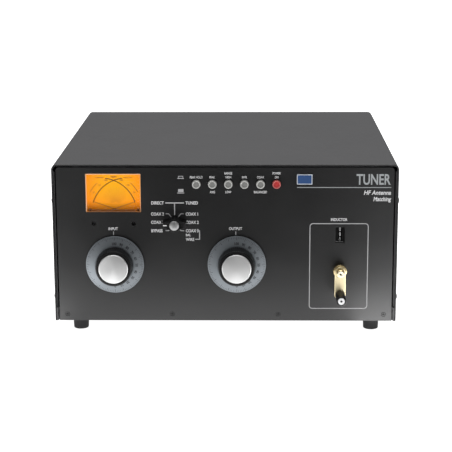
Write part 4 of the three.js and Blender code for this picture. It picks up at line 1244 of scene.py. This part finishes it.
def at(z):
    """The z of a place this far above the bottom of the case."""
    return BASE + z


def print_panel():
    """Legends, lines, title and a blank badge on the front panel."""
    words = Print(on_front)
    lines = Print(on_front)
    faint = 2.7

    above = (("PEAK HOLD",), ("PEAK",), ("HIGH", "RANGE"), ("SWR",), ("COAX",), ("ON", "POWER"))
    below = ((), ("AVG",), ("LOW",), (), ("BALANCED",), ())
    for name, upper, lower in zip(BUTTONS, above, below):
        x, z = middle(f"{name}_button")
        for k, word in enumerate(upper):
            words.text(word, x, z + 8.2 + 4.8 * k, faint, squeeze=0.72)
        for word in lower:
            words.text(word, x, z - 9.7, faint, squeeze=0.78)

    first_x, button_z = middle("hold_button")
    in_x = first_x - 18.5  # a small pictogram of a button pushed in
    lines.line([(in_x - 3.9, button_z + 6.8), (in_x + 3.9, button_z + 6.8)], 0.9)
    lines.line([(in_x - 2.6, button_z + 7.4), (in_x - 2.6, button_z + 9.4), (in_x + 2.6, button_z + 9.4),
                (in_x + 2.6, button_z + 7.4)], 0.7)
    lines.line([(in_x - 4.1, button_z - 10.9), (in_x + 4.1, button_z - 10.9)], 1.0)
    lines.line([(in_x - 3.2, button_z - 7.9), (in_x + 3.2, button_z - 7.9)], 3.6)

    print_selector(words, lines)

    for name, word in (("input", "INPUT"), ("output", "OUTPUT")):
        x, z = joint_place(f"{name}_dial_turn")
        words.text(word, x - 1.4, z + 43.7, 3.2, squeeze=0.85)
        lines.line([(x - 1.1, z + 36.0), (x - 1.1, z + 40.2)], 0.8)

    words.text("INDUCTOR", CRANK_X - 1.5, at(126.3), 3.2, squeeze=0.8)
    box = rectangle(101.7, at(15.9), 171.2, at(121.3), 4.0)
    lines.line(box, 1.0, closed=True)

    title = Print(on_front)
    title.text("TUNER", 196.7, at(175.2), 12.2, "RIGHT", squeeze=0.70, weight=0.02)
    title.line([(85.8, at(165.4)), (197.4, at(165.4))], 0.9)
    title.piece("panel_title", "case", TITLE_PRINT)
    words.text("HF Antenna", 197.2, at(159.2), 4.9, "RIGHT", squeeze=0.92, slant=0.2)
    words.text("Matching", 197.2, at(151.4), 4.9, "RIGHT", squeeze=0.80, slant=0.2)
    words.piece("panel_words", "case", LETTERING)
    lines.piece("panel_lines", "case", LINE_PRINT)

    x, z = 94.75, at(175.2)
    badge = moved(plate(rectangle(-9.2, -6.1, 9.2, 6.1, 0.6), [], proud(0.8), proud(0.02), 0.15), x=x, z=z)
    finish_piece("badge_plate", badge, "case", BADGE_SILVER)
    field = moved(plate(rectangle(-8.1, -5.0, 8.1, 5.0, 0.3), [], proud(0.95), proud(0.7), 0.05), x=x, z=z)
    finish_piece("badge_field", field, "case", BADGE_BLUE)


def print_selector(words, lines):
    """Legends round the selector, with leaders from its upper and lower legends on each side and a bracket
    on the right.
    """
    x, z = SELECTOR_X, SELECTOR_Z
    heading = at(146.5)
    lines.line([(x - 11, heading), (x + 11.3, heading)], 1.5)
    lines.line([(x, heading - 0.7), (x, z + 10)], 1.1)
    words.text("DIRECT", x - 12.7, heading, LEGEND, "RIGHT", squeeze=0.85)
    words.text("TUNED", x + 13.0, heading, LEGEND, "LEFT", squeeze=0.85)
    rows = ((132.9, "COAX 2", "COAX 1"), (122.8, "COAX 3", "COAX 2"), (112.4, "BYPASS", "COAX 3"))
    for row, left, right in rows:
        words.text(left, x - 28.2, at(row), LEGEND, "LEFT", squeeze=0.8)
        words.text(right, x + 13.2, at(row), LEGEND, "LEFT", squeeze=0.8)
    words.text("BAL", x + 13.2, at(107.2), 2.8, "LEFT", squeeze=0.85)
    words.text("WIRE", x + 13.2, at(101.7), 3.3, "LEFT", squeeze=0.85)
    leaders = (((10.8, 133.2), (7.3, 133.2), (4.1, 129.2)), ((11.2, 112.4), (7.6, 112.4), (5.8, 114.2)))
    for side in (-1, 1):
        for leader in leaders:
            lines.line([(x + side * across, at(row)) for across, row in leader], 0.8)
    edge = x + 29.6
    lines.line([(edge - 3.6, at(112.4)), (edge, at(112.4)), (edge, at(101.9)), (edge - 5.2, at(101.9))], 1.0)


def print_rear():
    """Legends beside the connectors."""
    words = Print(on_rear)
    for name, word in zip(SOCKETS, ("TRANSMITTER", "COAX 1", "COAX 2", "COAX 3")):
        x, z = middle(name)
        words.text(word, -x, z + 18, REAR_LEGEND, squeeze=0.85)
    x = -(middle(POSTS[0])[0] + middle(POSTS[1])[0]) / 2
    words.text("BALANCED LINE", x, middle(POSTS[0])[1] + 18, REAR_LEGEND, squeeze=0.85)
    x, z = middle("ground_post")
    words.text("GROUND", -x, z + 16, REAR_LEGEND, squeeze=0.85)
    words.text("12 V DC", -SUPPLY[0], SUPPLY[1] + 11, REAR_LEGEND, squeeze=0.85)
    words.piece("rear_words", "case", LETTERING)


# ------------------------------------------------------------------ materials of the kept CAD nodes
KEPT = {
    "bottom_chassis": COVER_PAINT,
    "meter_housing": BLACK,
    "selector_rotor": STEEL,
    "selector_wafer": CERAMIC,
    "button_bank": CIRCUIT_BOARD,
    "inductor_form": CERAMIC,
    "inductor_frame": CERAMIC,
    "roller_wheel": BRASS,
    "roller_rod": STEEL,
    "counter_frame": ZINC,
    "balun": FERRITE,
    **{f"{name}_{part}": material for name in DIALS for part, material in (
        ("ball_drive", BRASS), ("rotor", PLATE_METAL), ("stator", PLATE_METAL), ("frame", CERAMIC))},
}


def dress_kept_nodes():
    for node, material in KEPT.items():
        data = frame["nodes"][node].data
        data.materials.clear()
        data.materials.append(material)


# ------------------------------------------------------------------ stage, light and camera
FLOOR_GLOW = 1.0
WORLD_GLOW = 0.18


def build_stage():
    """A white floor that glows like a light table, so that no shadow falls on it."""
    bpy.ops.mesh.primitive_plane_add(size=30, location=(0, 6, 0))
    floor = bpy.context.object
    floor.name = "floor"
    floor.data.materials.append(surface("pale floor", (0.8, 0.8, 0.8), 0.9, vary=0.01, scale=3,
                                        Emission_Color=(1, 1, 1, 1), Emission_Strength=FLOOR_GLOW,
                                        Specular_IOR_Level=0.0))
    reflected_card("black_flag", [(-0.26, -0.42), (0.22, -0.42), (0.95, -3.0), (-1.05, -3.0)], 0.0)
    reflected_card("middle_strip", [(-0.20, -0.31), (0.16, -0.31), (0.16, -0.20), (-0.20, -0.20)], 2.4)
    reflected_card("left_strip", [(-0.50, -0.42), (-0.20, -0.32), (-0.20, -0.20), (-0.50, -0.20)], 5.0)
    reflected_card("right_strip", [(0.16, -0.32), (0.50, -0.42), (0.50, -0.20), (0.16, -0.20)], 8.0)


def reflected_card(name, corners, glow):
    """A card lying on the floor in front of the case, black or glowing, seen only in what shines."""
    data = bpy.data.meshes.new(name)
    data.from_pydata([(x, y, 0.003) for x, y in corners], [], [range(len(corners))])
    data.materials.append(surface(name, (0.01, 0.01, 0.01), 0.9, vary=0.01, Specular_IOR_Level=0.0,
                                  Emission_Color=(1, 1, 1, 1), Emission_Strength=glow))
    card = bpy.data.objects.new(name, data)
    bpy.context.scene.collection.objects.link(card)
    card.visible_camera = False
    card.visible_diffuse = False
    card.visible_transmission = False
    card.visible_shadow = False


def soft_light(name, place, target, size, power):
    data = bpy.data.lights.new(name, "AREA")
    data.shape = "RECTANGLE"
    data.size, data.size_y = size
    data.energy = power
    light = bpy.data.objects.new(name, data)
    light.location = place
    light.rotation_euler = (Vector(target) - Vector(place)).to_track_quat("-Z", "Y").to_euler()
    bpy.context.scene.collection.objects.link(light)


def build_light():
    world = bpy.data.worlds.new("studio")
    world.use_nodes = True
    world.node_tree.nodes["Background"].inputs["Color"].default_value = (1, 1, 1, 1)
    world.node_tree.nodes["Background"].inputs["Strength"].default_value = WORLD_GLOW
    bpy.context.scene.world = world
    soft_light("top_light", (0, 0.4, 2.2), (0, 0.1, 0), (2.6, 2.2), 60)
    bpy.context.scene.view_settings.view_transform = "Standard"
    bpy.context.scene.view_settings.look = "None"


CAMERA = {"x": 32.9, "ahead": 1673.0, "z": 516.2, "yaw": -1.082, "pitch": 13.373, "roll": -0.197,
          "lens": 114.57}


def build_camera():
    """ahead is the distance in front of the case's front edge, z the height above its bottom."""
    data = bpy.data.cameras.new("camera")
    data.sensor_width = 36
    data.lens = CAMERA["lens"]
    data.clip_end = 100
    camera = bpy.data.objects.new("camera", data)
    bpy.context.scene.collection.objects.link(camera)
    place = Vector((CAMERA["x"], COVER_LOW.y - CAMERA["ahead"], BASE + CAMERA["z"])) * MM
    camera.matrix_world = (
        Matrix.Translation(place)
        @ Matrix.Rotation(math.radians(-CAMERA["yaw"]), 4, "Z")
        @ Matrix.Rotation(math.radians(90 - CAMERA["pitch"]), 4, "X")
        @ Matrix.Rotation(math.radians(CAMERA["roll"]), 4, "Z")
    )
    bpy.context.scene.camera = camera


build_cover()
build_front_panel()
build_rear_panel()
build_gaskets()
build_feet()
build_case_screws()
build_meter_face()
build_meter_window()
build_needles()
build_selector()
for dial_name in DIALS:
    build_dial(dial_name)
build_buttons()
build_crank()
build_counter()
build_counter_mask()
build_inductor()
build_couplings()
build_balun_winding()
build_wiring()
build_meter_board()
build_sockets()
build_posts()
build_ground_post()
build_supply_socket()
print_panel()
print_rear()
dress_kept_nodes()
build_stage()
build_light()
build_camera()
